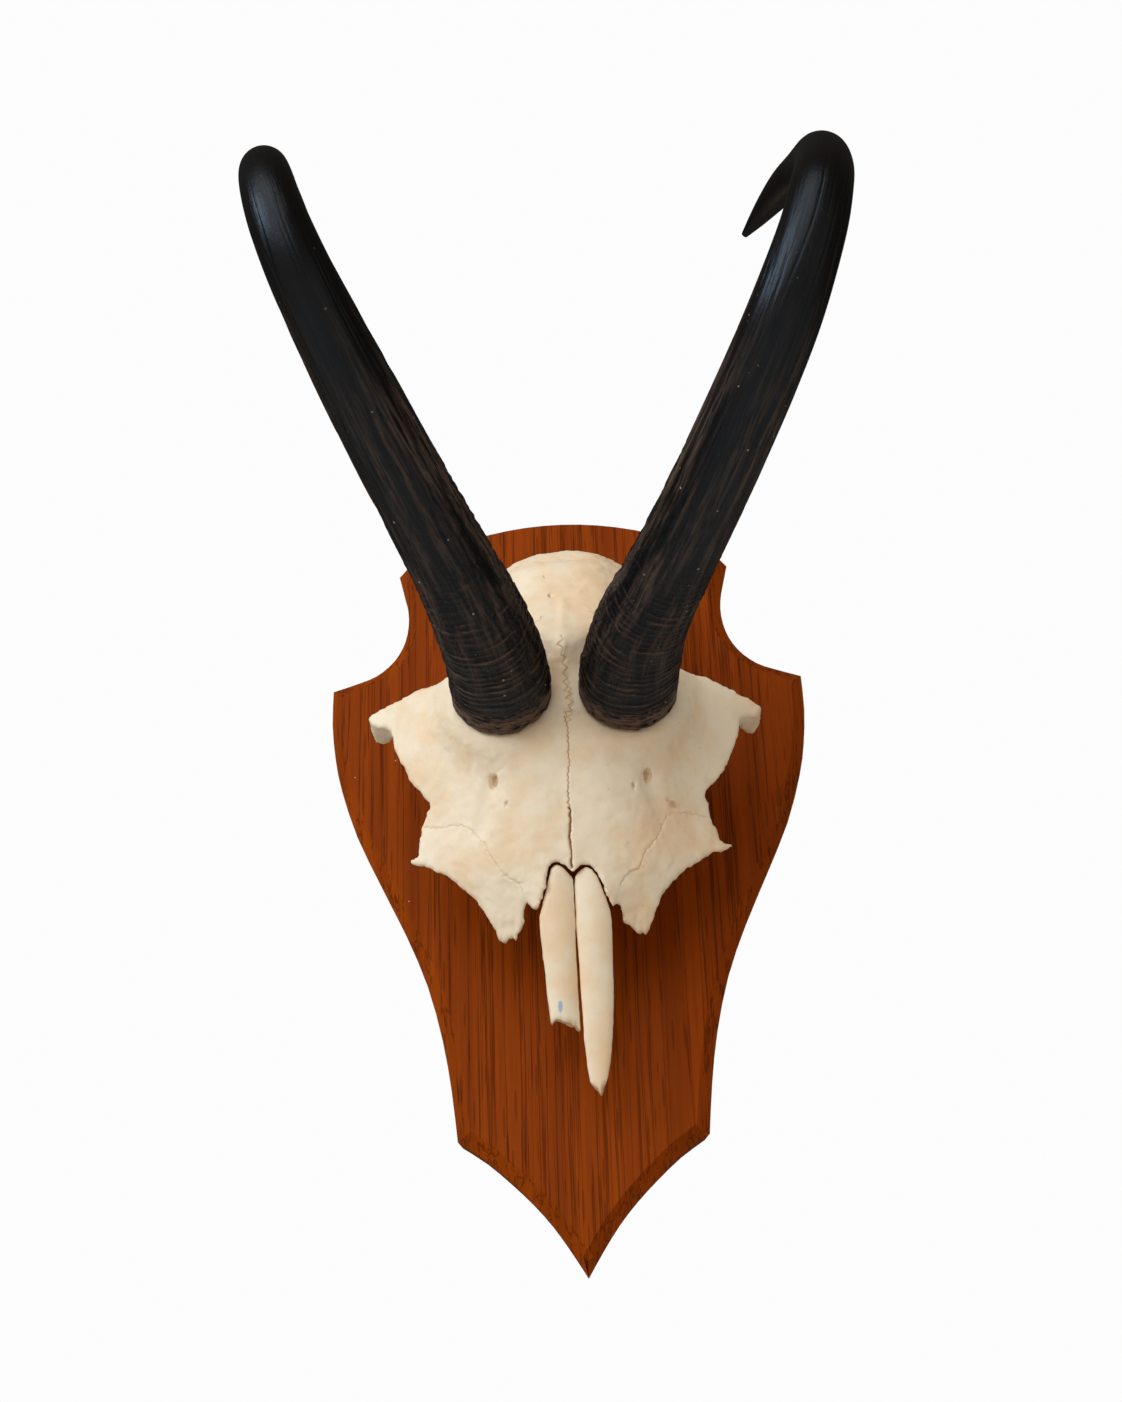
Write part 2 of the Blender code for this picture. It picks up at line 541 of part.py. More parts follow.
def build_skull(finish):
    """The skull cap: brow, eye-socket edges, broken snout root and braincase in one bone."""
    ring = case_wall(1.0)
    outline = divide(ring[1:-1][::-1] + [ring[0]] + RIGHT_EDGE + LEFT_EDGE
                     + [ring[-1]], SKULL_GRID)
    extra = []
    for reach in (0.995, 0.975, 0.93, 0.86, CASE_RIM_REACH, CASE_RIM_REACH - 0.06):
        extra += case_wall(reach)
        extra += [(side * reach * CASE_RADIUS, z) for side in (-1, 1) for z in (4.0, 0.5, -2.5)]
    for side in (-1, 1):
        base, _ = horn_seat(side)
        for k in range(22):
            angle = 2 * math.pi * k / 22
            extra.append((base.x + 14.2 * math.cos(angle), base.z + 14.2 * math.sin(angle)))
    steps = 12
    for k in range(steps + 1):
        z = SOCKET_WALL[0][0] + (SOCKET_WALL[-1][0] - SOCKET_WALL[0][0]) * k / steps
        middle = through(SOCKET_WALL, z)
        for off in (SOCKET_WALL_HALF, SOCKET_WALL_HALF + SOCKET_WALL_SLOPE):
            extra += [(side * (middle + way * off), z) for side in (-1, 1) for way in (-1, 1)]
    for hole_x, hole_z, radius in BROW_HOLES[:2]:
        extra.append((hole_x, hole_z))
        for k in range(6):
            angle = math.pi * k / 3
            extra.append((hole_x + radius * math.cos(angle), hole_z + radius * math.sin(angle)))
    apart = 0.55 * SKULL_GRID

    def clear(x, z):
        beside = SOCKET_WALL_HALF + SOCKET_WALL_SLOPE + 0.4 * SKULL_GRID
        if SOCKET_WALL[0][0] < z < SOCKET_WALL[-1][0] and socket_wall_distance(x, z) < beside:
            return False
        return all(math.hypot(x - ex, z - ez) > apart for ex, ez in extra)

    points = [p for p in extra if inside(*p, outline) and edge_distance(*p, outline) > 0.1]
    points += grid_inside(outline, SKULL_GRID, clear)
    skull = sheet_solid("skull_cap", outline, points, skull_top,
                        lambda x, z: skull_under(x, z, outline), finish)
    depth = -(PLAQUE_THICKNESS + SKULL_SCREW_REACH + 2 * GAP)
    radius = SKULL_SCREW_SHANK_RADIUS + GAP
    cutters = [turned(f"cut_skull_{side + 1}", [(-PLAQUE_THICKNESS + 3.0, radius),
                                                (depth, radius)],
                      side * SKULL_SCREW_X, SKULL_SCREW_Z, finish, 12) for side in (-1, 1)]
    cut(skull, cutters)


def nasal_top(x, z):
    """Height of the nasal bones' outer face, arched across each one."""
    height = NASAL_TOP_HEIGHT - NASAL_SLOPE * (NASAL_TOP_Z - z)
    return height - 0.07 * (abs(x) - NASAL_MIDDLE_X)**2


def build_nasals(finish):
    """The two nasal bones: the left one broken short, the right one whole."""
    for name, outline in (("nasal_left", NASAL_LEFT), ("nasal_right", NASAL_RIGHT)):
        edge = divide(outline, NASAL_GRID)
        points = grid_inside(edge, NASAL_GRID, lambda x, z: True)
        sheet_solid(name, edge, points, nasal_top,
                    lambda x, z: nasal_top(x, z) - NASAL_THICKNESS, finish)


def horn_stations(line):
    """Places along a horn as (x, height, z, radius), close together over the growth rings."""
    fine = spline(line, 24)
    travelled = [0.0]
    for a, b in zip(fine, fine[1:]):
        travelled.append(travelled[-1] + math.dist(a[:3], b[:3]))
    wanted = [(0.0, 0.0)]
    for k in range(RING_COUNT):
        ridge = RING_FIRST + k * RING_SPACING
        wanted += [(ridge - 0.22 * RING_SPACING, -0.5 * RING_RELIEF),
                   (ridge + 0.22 * RING_SPACING, RING_RELIEF)]
    first = wanted[-1][0] + RING_SPACING
    count = round((travelled[-1] - first) / SHAFT_STEP)
    wanted += [(first + (travelled[-1] - first) * k / count, 0.0) for k in range(count + 1)]
    stations = []
    for distance, relief in wanted:
        i = max(k for k in range(len(fine) - 1) if travelled[k] <= distance)
        t = min(1.0, (distance - travelled[i]) / (travelled[i + 1] - travelled[i]))
        x, height, z, radius = (a + (b - a) * t for a, b in zip(fine[i], fine[i + 1]))
        stations.append((x, height, z, radius + relief))
    return stations


def build_horn(name, line, side, finish):
    """A horn sheath as one solid, from its flat base to the point of its hook."""
    stations = horn_stations(line)
    centres = [place(*station[:3]) for station in stations]
    _, way = horn_seat(side)
    across = Vector((0.0, 0.0, 1.0))
    rings = []
    for i, centre in enumerate(centres):
        if i == 0:
            along = Vector((way.x, -way.y, way.z))
        else:
            along = (centres[min(i + 1, len(centres) - 1)] - centres[i - 1]).normalized()
        across = (across - along * across.dot(along)).normalized()
        other = along.cross(across)
        radius = stations[i][3] * MM
        angles = [2 * math.pi * k / HORN_SIDES for k in range(HORN_SIDES)]
        rings.append([centre + (across * math.cos(a) + other * math.sin(a)) * radius
                      for a in angles])
    return stack(name, rings, finish, 50)


def main():
    """Build every piece of the mount."""
    clear_scene()
    walnut = material("stained_wood", WALNUT)
    bone = material("bone", BONE)
    horn = material("horn", HORN)
    steel = material("steel", STEEL)
    build_plaque(walnut)
    build_hanger(steel)
    build_screws(steel)
    build_skull(bone)
    build_nasals(bone)
    build_horn("horn_left", HORN_LEFT, -1, horn)
    build_horn("horn_right", HORN_RIGHT, 1, horn)


main()
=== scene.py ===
"""Looks of a chamois horn mount: two hooked horns and a cut skull cap on a wooden shield.

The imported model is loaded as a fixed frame. The horns, the bones and the shield are dressed as
fine meshes that stand for their solids, and the steel pieces keep theirs with a better finish.

Frame: metres, +Z up, +X to the viewer's right. The plaque's back lies on the wall at y = 0 and
everything stands out towards -Y. Shapes are written in millimetres as (x, height, z), where a
height is measured out from the plaque's front face.
"""

import itertools
import logging
import math
from dataclasses import dataclass, field
from enum import Enum

import bmesh
import bpy
import numpy as np
from mathutils import Matrix, Vector


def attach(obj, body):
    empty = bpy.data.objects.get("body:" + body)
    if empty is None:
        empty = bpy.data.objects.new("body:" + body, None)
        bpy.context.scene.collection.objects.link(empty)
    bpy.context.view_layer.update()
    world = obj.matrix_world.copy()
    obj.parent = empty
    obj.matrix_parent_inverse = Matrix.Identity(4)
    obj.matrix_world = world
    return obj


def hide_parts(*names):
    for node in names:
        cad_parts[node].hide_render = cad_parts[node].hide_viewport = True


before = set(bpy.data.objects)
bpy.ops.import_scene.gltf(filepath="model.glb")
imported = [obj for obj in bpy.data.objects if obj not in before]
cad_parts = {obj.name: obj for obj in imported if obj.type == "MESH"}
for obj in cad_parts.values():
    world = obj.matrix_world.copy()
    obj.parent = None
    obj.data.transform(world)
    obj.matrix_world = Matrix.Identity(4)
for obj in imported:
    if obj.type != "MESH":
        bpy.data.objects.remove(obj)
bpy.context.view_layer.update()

LOG = logging.getLogger("horn_mount")
MM = 0.001
PLAQUE_THICKNESS = 16.0
WELD = 1e-6
BODY = "root"

Colour = tuple[float, float, float]
Point2 = tuple[float, float]
Station = tuple[float, float, float, float]


class Side(Enum):
    """The two sides of the mount as the viewer sees them."""

    LEFT = -1
    RIGHT = 1


class Slot(Enum):
    """The material slots of the record."""

    WOOD = "stained_wood"
    BONE = "bone"
    HORN = "horn"
    STEEL = "steel"


def to_world(points: np.ndarray) -> np.ndarray:
    """World metres from (x, height, z) millimetres."""
    return np.stack([points[:, 0], -(PLAQUE_THICKNESS + points[:, 1]), points[:, 2]], 1) * MM


def to_millimetres(points: np.ndarray) -> np.ndarray:
    """(x, height, z) millimetres from world metres."""
    scaled = points / MM
    return np.stack([scaled[:, 0], -scaled[:, 1] - PLAQUE_THICKNESS, scaled[:, 2]], 1)


def soft_step(low: float, high: float, values: np.ndarray) -> np.ndarray:
    """0 below low, 1 above high and a soft curve between."""
    t = np.clip((values - low) / (high - low), 0.0, 1.0)
    return t * t * (3.0 - 2.0 * t)


def bump(low: float, high: float, soft: float, values: np.ndarray) -> np.ndarray:
    """1 between low and high, falling softly to 0 outside them."""
    rise = soft_step(low - soft, low + soft, values)
    return rise * (1.0 - soft_step(high - soft, high + soft, values))


@dataclass(frozen=True)
class Lattice:
    """Smooth seeded noise in space, the same on every run.

    Attributes:
        seed: which noise it is.
        size: cells before it repeats.
    """

    seed: int
    size: int = 64

    def at(self, places: np.ndarray, grain: float | tuple[float, float, float]) -> np.ndarray:
        """Values from -1 to 1.

        Args:
            places: points in millimetres, one a row.
            grain: width of the features, one for all axes or one for each.

        Returns:
            One value for each point.
        """
        table = np.random.default_rng(self.seed).uniform(-1.0, 1.0, (self.size,) * 3)
        scaled = places / np.asarray(grain, dtype=float)
        cell = np.floor(scaled).astype(int)
        part = scaled - cell
        part = part * part * (3.0 - 2.0 * part)
        total = np.zeros(len(places))
        for corner in itertools.product((0, 1), repeat=3):
            weight = np.prod(np.where(np.array(corner), part, 1.0 - part), axis=1)
            total += weight * table[tuple(((cell + corner) % self.size).T)]
        return total

    def layers(self, places: np.ndarray, grain: float, octaves: int = 3) -> np.ndarray:
        """Noise with finer and weaker noise laid over it.

        Args:
            places: points in millimetres, one a row.
            grain: width of the largest features.
            octaves: how many noises lie over each other.

        Returns:
            One value from -1 to 1 for each point.
        """
        total = np.zeros(len(places))
        for k in range(octaves):
            total += Lattice(self.seed + k).at(places, grain / 2**k) / 2**k
        return total / (2.0 - 0.5**(octaves - 1))


def link_object(name: str, mesh: bpy.types.Mesh) -> bpy.types.Object:
    """A new object in the scene with that mesh.

    Args:
        name: the object's name.
        mesh: its mesh.

    Returns:
        The object.
    """
    thing = bpy.data.objects.new(name, mesh)
    bpy.context.scene.collection.objects.link(thing)
    return thing


def node_copy(node: str, name: str) -> bpy.types.Object:
    """A new object with a welded copy of a CAD node's mesh.

    Args:
        node: the CAD node.
        name: the new object's name.

    Returns:
        The new object, which has no material yet.
    """
    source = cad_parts[node]
    body = bmesh.new()
    body.from_mesh(source.data)
    body.transform(source.matrix_world)
    bmesh.ops.remove_doubles(body, verts=body.verts, dist=WELD)
    bmesh.ops.recalc_face_normals(body, faces=body.faces)
    mesh = bpy.data.meshes.new(name)
    body.to_mesh(mesh)
    body.free()
    return link_object(name, mesh)


def apply_modifiers(thing: bpy.types.Object) -> None:
    """Turn the object's modifiers into its mesh.

    Args:
        thing: the object.
    """
    evaluated = thing.evaluated_get(bpy.context.evaluated_depsgraph_get())
    mesh = bpy.data.meshes.new_from_object(evaluated)
    thing.modifiers.clear()
    thing.data = mesh


def read_points(mesh: bpy.types.Mesh) -> np.ndarray:
    """The mesh's points as (x, height, z) millimetres.

    Args:
        mesh: the mesh.

    Returns:
        One row a point.
    """
    flat = np.empty(len(mesh.vertices) * 3)
    mesh.vertices.foreach_get("co", flat)
    return to_millimetres(flat.reshape(-1, 3))


def write_points(mesh: bpy.types.Mesh, points: np.ndarray) -> None:
    """Move the mesh's points to (x, height, z) millimetres."""
    mesh.vertices.foreach_set("co", to_world(points).ravel())
    mesh.update()


def read_normals(mesh: bpy.types.Mesh) -> np.ndarray:
    """The mesh's point normals as (x, height, z) directions.

    Args:
        mesh: the mesh.

    Returns:
        One row a point.
    """
    flat = np.empty(len(mesh.vertices) * 3)
    mesh.vertex_normals.foreach_get("vector", flat)
    flat = flat.reshape(-1, 3)
    return np.stack([flat[:, 0], -flat[:, 1], flat[:, 2]], 1)


def read_edges(mesh: bpy.types.Mesh) -> np.ndarray:
    """The mesh's edges as pairs of point numbers.

    Args:
        mesh: the mesh.

    Returns:
        One row an edge.
    """
    flat = np.empty(len(mesh.edges) * 2, dtype=np.int64)
    mesh.edges.foreach_get("vertices", flat)
    return flat.reshape(-1, 2)


def neighbour_mean(values: np.ndarray, edges: np.ndarray) -> np.ndarray:
    """The mean of each point's neighbours.

    Args:
        values: one row a point.
        edges: pairs of point numbers.

    Returns:
        One row a point.
    """
    count = len(values)
    ends = np.concatenate([edges[:, 0], edges[:, 1]])
    others = np.concatenate([edges[:, 1], edges[:, 0]])
    degree = np.maximum(np.bincount(ends, minlength=count), 1)
    columns = [np.bincount(ends, weights=values[others, k], minlength=count) / degree
               for k in range(values.shape[1])]
    return np.stack(columns, 1)


def smoothed(points: np.ndarray, edges: np.ndarray, passes: int, weights: np.ndarray,
             swell: float = 0.0) -> np.ndarray:
    """Points drawn towards their neighbours.

    Args:
        points: the points in millimetres.
        edges: pairs of point numbers.
        passes: how often they are drawn.
        weights: how much each point gives way, from 0 to 1.
        swell: how far each pass is undone by a second one, which keeps thin places from shrinking.

    Returns:
        The smoothed points.
    """
    share = 0.5 * weights[:, None]
    for _ in range(passes):
        points = points + share * (neighbour_mean(points, edges) - points)
        if swell:
            points = points - swell * share * (neighbour_mean(points, edges) - points)
    return points


def write_attribute(mesh: bpy.types.Mesh, name: str, values: np.ndarray) -> None:
    """Store one number or one vector for each point under a name that the finishes read.

    Args:
        mesh: the mesh.
        name: what the finishes call it.
        values: one number or row a point.
    """
    if values.ndim == 1:
        layer = mesh.attributes.new(name, "FLOAT", "POINT")
        layer.data.foreach_set("value", values.astype(np.float32))
    else:
        layer = mesh.attributes.new(name, "FLOAT_VECTOR", "POINT")
        layer.data.foreach_set("vector", values.astype(np.float32).ravel())


def line_distance(places: np.ndarray, path: np.ndarray) -> np.ndarray:
    """Distance of each (x, z) place from an open line of points.

    Args:
        places: (x, z) rows.
        path: the line's points as (x, z) rows.

    Returns:
        One distance a place, in millimetres.
    """
    best = np.full(len(places), np.inf)
    for start, end in zip(path[:-1], path[1:]):
        along = end - start
        t = np.clip(((places - start) @ along) / max(along @ along, 1e-9), 0.0, 1.0)
        best = np.minimum(best, np.hypot(*(places - start - t[:, None] * along).T))
    return best


def smooth_path(points: list, spans: int) -> np.ndarray:
    """Points of a Catmull-Rom curve through the given ones, spans to a stretch.

    Args:
        points: what the curve runs through.
        spans: points for each stretch between two.

    Returns:
        One row a point of the curve.
    """
    given = np.asarray(points, dtype=float)
    last = len(given) - 1
    rows = []
    for i in range(last):
        p = given[[max(i - 1, 0), i, i + 1, min(i + 2, last)]]
        for k in range(spans):
            t = k / spans
            weights = np.array([-0.5 * t + t**2 - 0.5 * t**3, 1 - 2.5 * t**2 + 1.5 * t**3,
                                0.5 * t + 2 * t**2 - 1.5 * t**3, -0.5 * t**2 + 0.5 * t**3])
            rows.append(weights @ p)
    rows.append(given[last])
    return np.array(rows)


Feed = float | Colour | bpy.types.NodeSocket


class Graph:
    """Adds and links the nodes of one shader tree."""

    def __init__(self, tree: bpy.types.NodeTree) -> None:
        """Start on a tree."""
        self.tree = tree

    def add(self, kind: str, **settings: object) -> bpy.types.Node:
        """A new node of a kind, with its settings.

        Args:
            kind: the node's type.
            **settings: its properties by name.

        Returns:
            The node.
        """
        node = self.tree.nodes.new(kind)
        for name, value in settings.items():
            setattr(node, name, value)
        return node

    def feed(self, socket: bpy.types.NodeSocket, value: Feed) -> None:
        """Set a socket to a number or colour, or link another socket to it.

        Args:
            socket: the input.
            value: what feeds it.
        """
        if isinstance(value, bpy.types.NodeSocket):
            self.tree.links.new(value, socket)
        elif isinstance(value, tuple) and len(socket.default_value) == 4:
            socket.default_value = (*value, 1.0)
        else:
            socket.default_value = value

    def math(self, operation: str, a: Feed, b: Feed = 0.0) -> bpy.types.NodeSocket:
        """The result of a Math node.

        Args:
            operation: what it does.
            a: the first value.
            b: the second value.

        Returns:
            The result.
        """
        node = self.add("ShaderNodeMath", operation=operation)
        self.feed(node.inputs[0], a)
        self.feed(node.inputs[1], b)
        return node.outputs[0]

    def step(self, value: Feed, low: Feed, high: Feed) -> bpy.types.NodeSocket:
        """0 below low, 1 above high and a soft curve between.

        Args:
            value: the value to read.
            low: where the curve starts.
            high: where it ends.

        Returns:
            The stepped value.
        """
        node = self.add("ShaderNodeMapRange", interpolation_type="SMOOTHSTEP")
        self.feed(node.inputs["Value"], value)
        self.feed(node.inputs["From Min"], low)
        self.feed(node.inputs["From Max"], high)
        return node.outputs["Result"]

    def span(self, value: Feed, low: float, high: float) -> bpy.types.NodeSocket:
        """A 0 to 1 value stretched between two numbers.

        Args:
            value: the value from 0 to 1.
            low: the number at 0.
            high: the number at 1.

        Returns:
            The stretched value.
        """
        node = self.add("ShaderNodeMapRange")
        self.feed(node.inputs["Value"], value)
        self.feed(node.inputs["To Min"], low)
        self.feed(node.inputs["To Max"], high)
        return node.outputs["Result"]

    def mix(self, factor: Feed, a: Feed, b: Feed) -> bpy.types.NodeSocket:
        """Two colours mixed.

        Args:
            factor: share of the second.
            a: the first.
            b: the second.

        Returns:
            The mixed colour.
        """
        node = self.add("ShaderNodeMix", data_type="RGBA")
        self.feed(node.inputs[0], factor)
        self.feed(node.inputs[6], a)
        self.feed(node.inputs[7], b)
        return node.outputs[2]

    def place(self) -> bpy.types.NodeSocket:
        """The object's own coordinates in metres."""
        return self.add("ShaderNodeTexCoord").outputs["Object"]

    def read(self, name: str, vector: bool = False) -> bpy.types.NodeSocket:
        """A value stored on the mesh."""
        node = self.add("ShaderNodeAttribute", attribute_name=name)
        return node.outputs["Vector" if vector else "Fac"]

    def stretched(self, vector: Feed, scale: tuple[float, float, float]) -> bpy.types.NodeSocket:
        """Coordinates multiplied on each axis.

        Args:
            vector: the coordinates.
            scale: what each axis is multiplied by.

        Returns:
            The stretched coordinates.
        """
        node = self.add("ShaderNodeMapping")
        self.feed(node.inputs["Vector"], vector)
        node.inputs["Scale"].default_value = scale
        return node.outputs["Vector"]

    def noise(self, vector: Feed, scale: Feed, detail: float = 3.0,
              rough: float = 0.55) -> bpy.types.NodeSocket:
        """Noise between 0 and 1.

        Args:
            vector: where it is read.
            scale: how fine it is.
            detail: how many finer layers.
            rough: how strong the finer layers are.

        Returns:
            The noise.
        """
        node = self.add("ShaderNodeTexNoise")
        self.feed(node.inputs["Vector"], vector)
        self.feed(node.inputs["Scale"], scale)
        node.inputs["Detail"].default_value = detail
        node.inputs["Roughness"].default_value = rough
        return node.outputs["Fac"]

    def bumps(self, height: Feed, distance: float, strength: float = 1.0,
              under: Feed | None = None) -> bpy.types.NodeSocket:
        """A normal raised by a height.

        Args:
            height: what raises it, from 0 to 1.
            distance: how high 1 stands, in metres.
            strength: share of the effect.
            under: a normal that it adds to.

        Returns:
            The normal.
        """
        node = self.add("ShaderNodeBump")
        node.inputs["Strength"].default_value = strength
        node.inputs["Distance"].default_value = distance
        self.feed(node.inputs["Height"], height)
        if under is not None:
            self.feed(node.inputs["Normal"], under)
        return node.outputs["Normal"]


GroupParts = tuple[bpy.types.NodeTree, Graph, bpy.types.Node, bpy.types.Node]


def new_group(name: str, inputs: dict[str, tuple[str, float]],
              outputs: dict[str, str]) -> GroupParts:
    """An empty shader node group.

    Args:
        name: the group's name.
        inputs: socket type and default for each input.
        outputs: socket type for each output.

    Returns:
        The group, its graph, its input node and its output node.
    """
    tree = bpy.data.node_groups.new(name, "ShaderNodeTree")
    for label, (kind, value) in inputs.items():
        socket = tree.interface.new_socket(name=label, in_out="INPUT", socket_type=kind)
        if kind == "NodeSocketFloat":
            socket.default_value = value
    for label, kind in outputs.items():
        tree.interface.new_socket(name=label, in_out="OUTPUT", socket_type=kind)
    graph = Graph(tree)
    return tree, graph, graph.add("NodeGroupInput"), graph.add("NodeGroupOutput")


class Effects:
    """The shader node groups that more than one finish uses."""

    def __init__(self) -> None:
        """Build each group once."""
        self.specks = self.build_specks()
        self.worn = self.build_worn()
        self.streaks = self.build_streaks()

    @staticmethod
    def build_specks() -> bpy.types.NodeTree:
        """Small scattered specks of dust or pores as a mask.

        Returns:
            The node group.
        """
        tree, graph, given, made = new_group(
            "scattered_specks",
            {"Vector": ("NodeSocketVector", 0.0), "Scale": ("NodeSocketFloat", 400.0),
             "Size": ("NodeSocketFloat", 0.1), "Share": ("NodeSocketFloat", 0.1)},
            {"Mask": "NodeSocketFloat"})
        cells = graph.add("ShaderNodeTexVoronoi")
        graph.feed(cells.inputs["Vector"], given.outputs["Vector"])
        graph.feed(cells.inputs["Scale"], given.outputs["Scale"])
        parts = graph.add("ShaderNodeSeparateColor")
        graph.feed(parts.inputs[0], cells.outputs["Color"])
        chosen = graph.math("LESS_THAN", parts.outputs[0], given.outputs["Share"])
        size = graph.math("MULTIPLY", given.outputs["Size"], parts.outputs[1])
        close = graph.math("LESS_THAN", cells.outputs["Distance"], size)
        graph.feed(made.inputs["Mask"], graph.math("MULTIPLY", chosen, close))
        return tree

    @staticmethod
    def build_worn() -> bpy.types.NodeTree:
        """A mask that grows with a relief and is broken up by noise.

        Returns:
            The node group.
        """
        tree, graph, given, made = new_group(
            "worn_relief",
            {"Vector": ("NodeSocketVector", 0.0), "Relief": ("NodeSocketFloat", 0.5),
             "Low": ("NodeSocketFloat", 0.4), "High": ("NodeSocketFloat", 0.8),
             "Scale": ("NodeSocketFloat", 200.0), "Breakup": ("NodeSocketFloat", 0.4)},
            {"Mask": "NodeSocketFloat"})
        noise = graph.noise(given.outputs["Vector"], given.outputs["Scale"], 4.0, 0.6)
        lift = graph.math("MULTIPLY", graph.math("SUBTRACT", noise, 0.5), given.outputs["Breakup"])
        relief = graph.math("ADD", given.outputs["Relief"], lift)
        mask = graph.step(relief, given.outputs["Low"], given.outputs["High"])
        graph.feed(made.inputs["Mask"], mask)
        return tree

    @staticmethod
    def build_streaks() -> bpy.types.NodeTree:
        """Long streaks along one axis: broad bands and fine lines.

        Returns:
            The node group.
        """
        tree, graph, given, made = new_group(
            "long_streaks",
            {"Vector": ("NodeSocketVector", 0.0), "Broad": ("NodeSocketFloat", 1.0),
             "Fine": ("NodeSocketFloat", 4.0)},
            {"Bands": "NodeSocketFloat", "Lines": "NodeSocketFloat"})
        graph.feed(made.inputs["Bands"],
                   graph.noise(given.outputs["Vector"], given.outputs["Broad"], 3.0, 0.55))
        graph.feed(made.inputs["Lines"],
                   graph.noise(given.outputs["Vector"], given.outputs["Fine"], 4.0, 0.65))
        return tree


def use_group(graph: Graph, tree: bpy.types.NodeTree, **values: Feed) -> bpy.types.Node:
    """A group placed in a material with its own values.

    Args:
        graph: the material's graph.
        tree: the group.
        **values: its inputs by name.

    Returns:
        The group's node.
    """
    node = graph.add("ShaderNodeGroup", node_tree=tree)
    for name, value in values.items():
        graph.feed(node.inputs[name], value)
    return node


def new_material(name: str) -> tuple[bpy.types.Material, Graph, bpy.types.Node]:
    """A material with its graph and its Principled shader.

    Args:
        name: the material's name.

    Returns:
        The material, its graph and its shader.
    """
    made = bpy.data.materials.new(name)
    made.use_nodes = True
    return made, Graph(made.node_tree), made.node_tree.nodes["Principled BSDF"]


@dataclass(frozen=True)
class WoodFinish:
    """Stained and thinly varnished wood with its grain along Z.

    Attributes:
        light: colour between the streaks.
        dark: colour of the streaks.
        pore: colour of the open pores.
        dust: colour of the dust specks.
        roughness: of the varnish.
        gloss: level of its reflections.
        relief: depth of its pores and lines, in metres.
    """

    light: Colour = (0.320, 0.055, 0.0015)
    dark: Colour = (0.165, 0.026, 0.0010)
    pore: Colour = (0.035, 0.006, 0.0010)
    dust: Colour = (0.55, 0.36, 0.24)
    roughness: float = 0.44
    gloss: float = 0.04
    relief: float = 0.00006

    def material(self, effects: Effects) -> bpy.types.Material:
        """The finished material.

        Args:
            effects: the shared node groups.

        Returns:
            The material.
        """
        made, graph, shader = new_material("stained_wood_fine")
        place = graph.place()
        drawn_out = graph.stretched(place, (1.0, 0.60, 0.010))
        streaks = use_group(graph, effects.streaks, Vector=drawn_out, Broad=105.0, Fine=330.0)
        bands = graph.step(streaks.outputs["Bands"], 0.25, 0.85)
        away = graph.math("ABSOLUTE", graph.math("SUBTRACT", streaks.outputs["Lines"], 0.53))
        lines = graph.math("SUBTRACT", 1.0, graph.step(away, 0.004, 0.030))
        colour = graph.mix(bands, self.light, self.dark)
        fibre = graph.noise(graph.stretched(place, (1.0, 0.60, 0.03)), 1300.0, 3.0, 0.6)
        shade = graph.math("MULTIPLY", graph.step(fibre, 0.4, 0.75), 0.4)
        colour = graph.mix(shade, colour, self.dark)
        colour = graph.mix(graph.math("MULTIPLY", lines, 0.55), colour, self.pore)
        pores = use_group(graph, effects.specks, Vector=graph.stretched(place, (1.0, 1.0, 0.07)),
                          Scale=900.0, Size=0.42, Share=0.35)
        colour = graph.mix(graph.math("MULTIPLY", pores.outputs["Mask"], 0.35), colour, self.pore)
        dust = use_group(graph, effects.specks, Vector=place, Scale=260.0, Size=0.075, Share=0.06)
        colour = graph.mix(graph.math("MULTIPLY", dust.outputs["Mask"], 0.8), colour, self.dust)
        graph.feed(shader.inputs["Base Color"], colour)
        graph.feed(shader.inputs["Roughness"],
                   graph.span(lines, self.roughness, self.roughness + 0.14))
        shader.inputs["Specular IOR Level"].default_value = self.gloss
        height = graph.math("ADD", graph.math("MULTIPLY", lines, -0.5),
                            graph.math("MULTIPLY", pores.outputs["Mask"], -0.5))
        graph.feed(shader.inputs["Normal"], graph.bumps(height, self.relief))
        return made


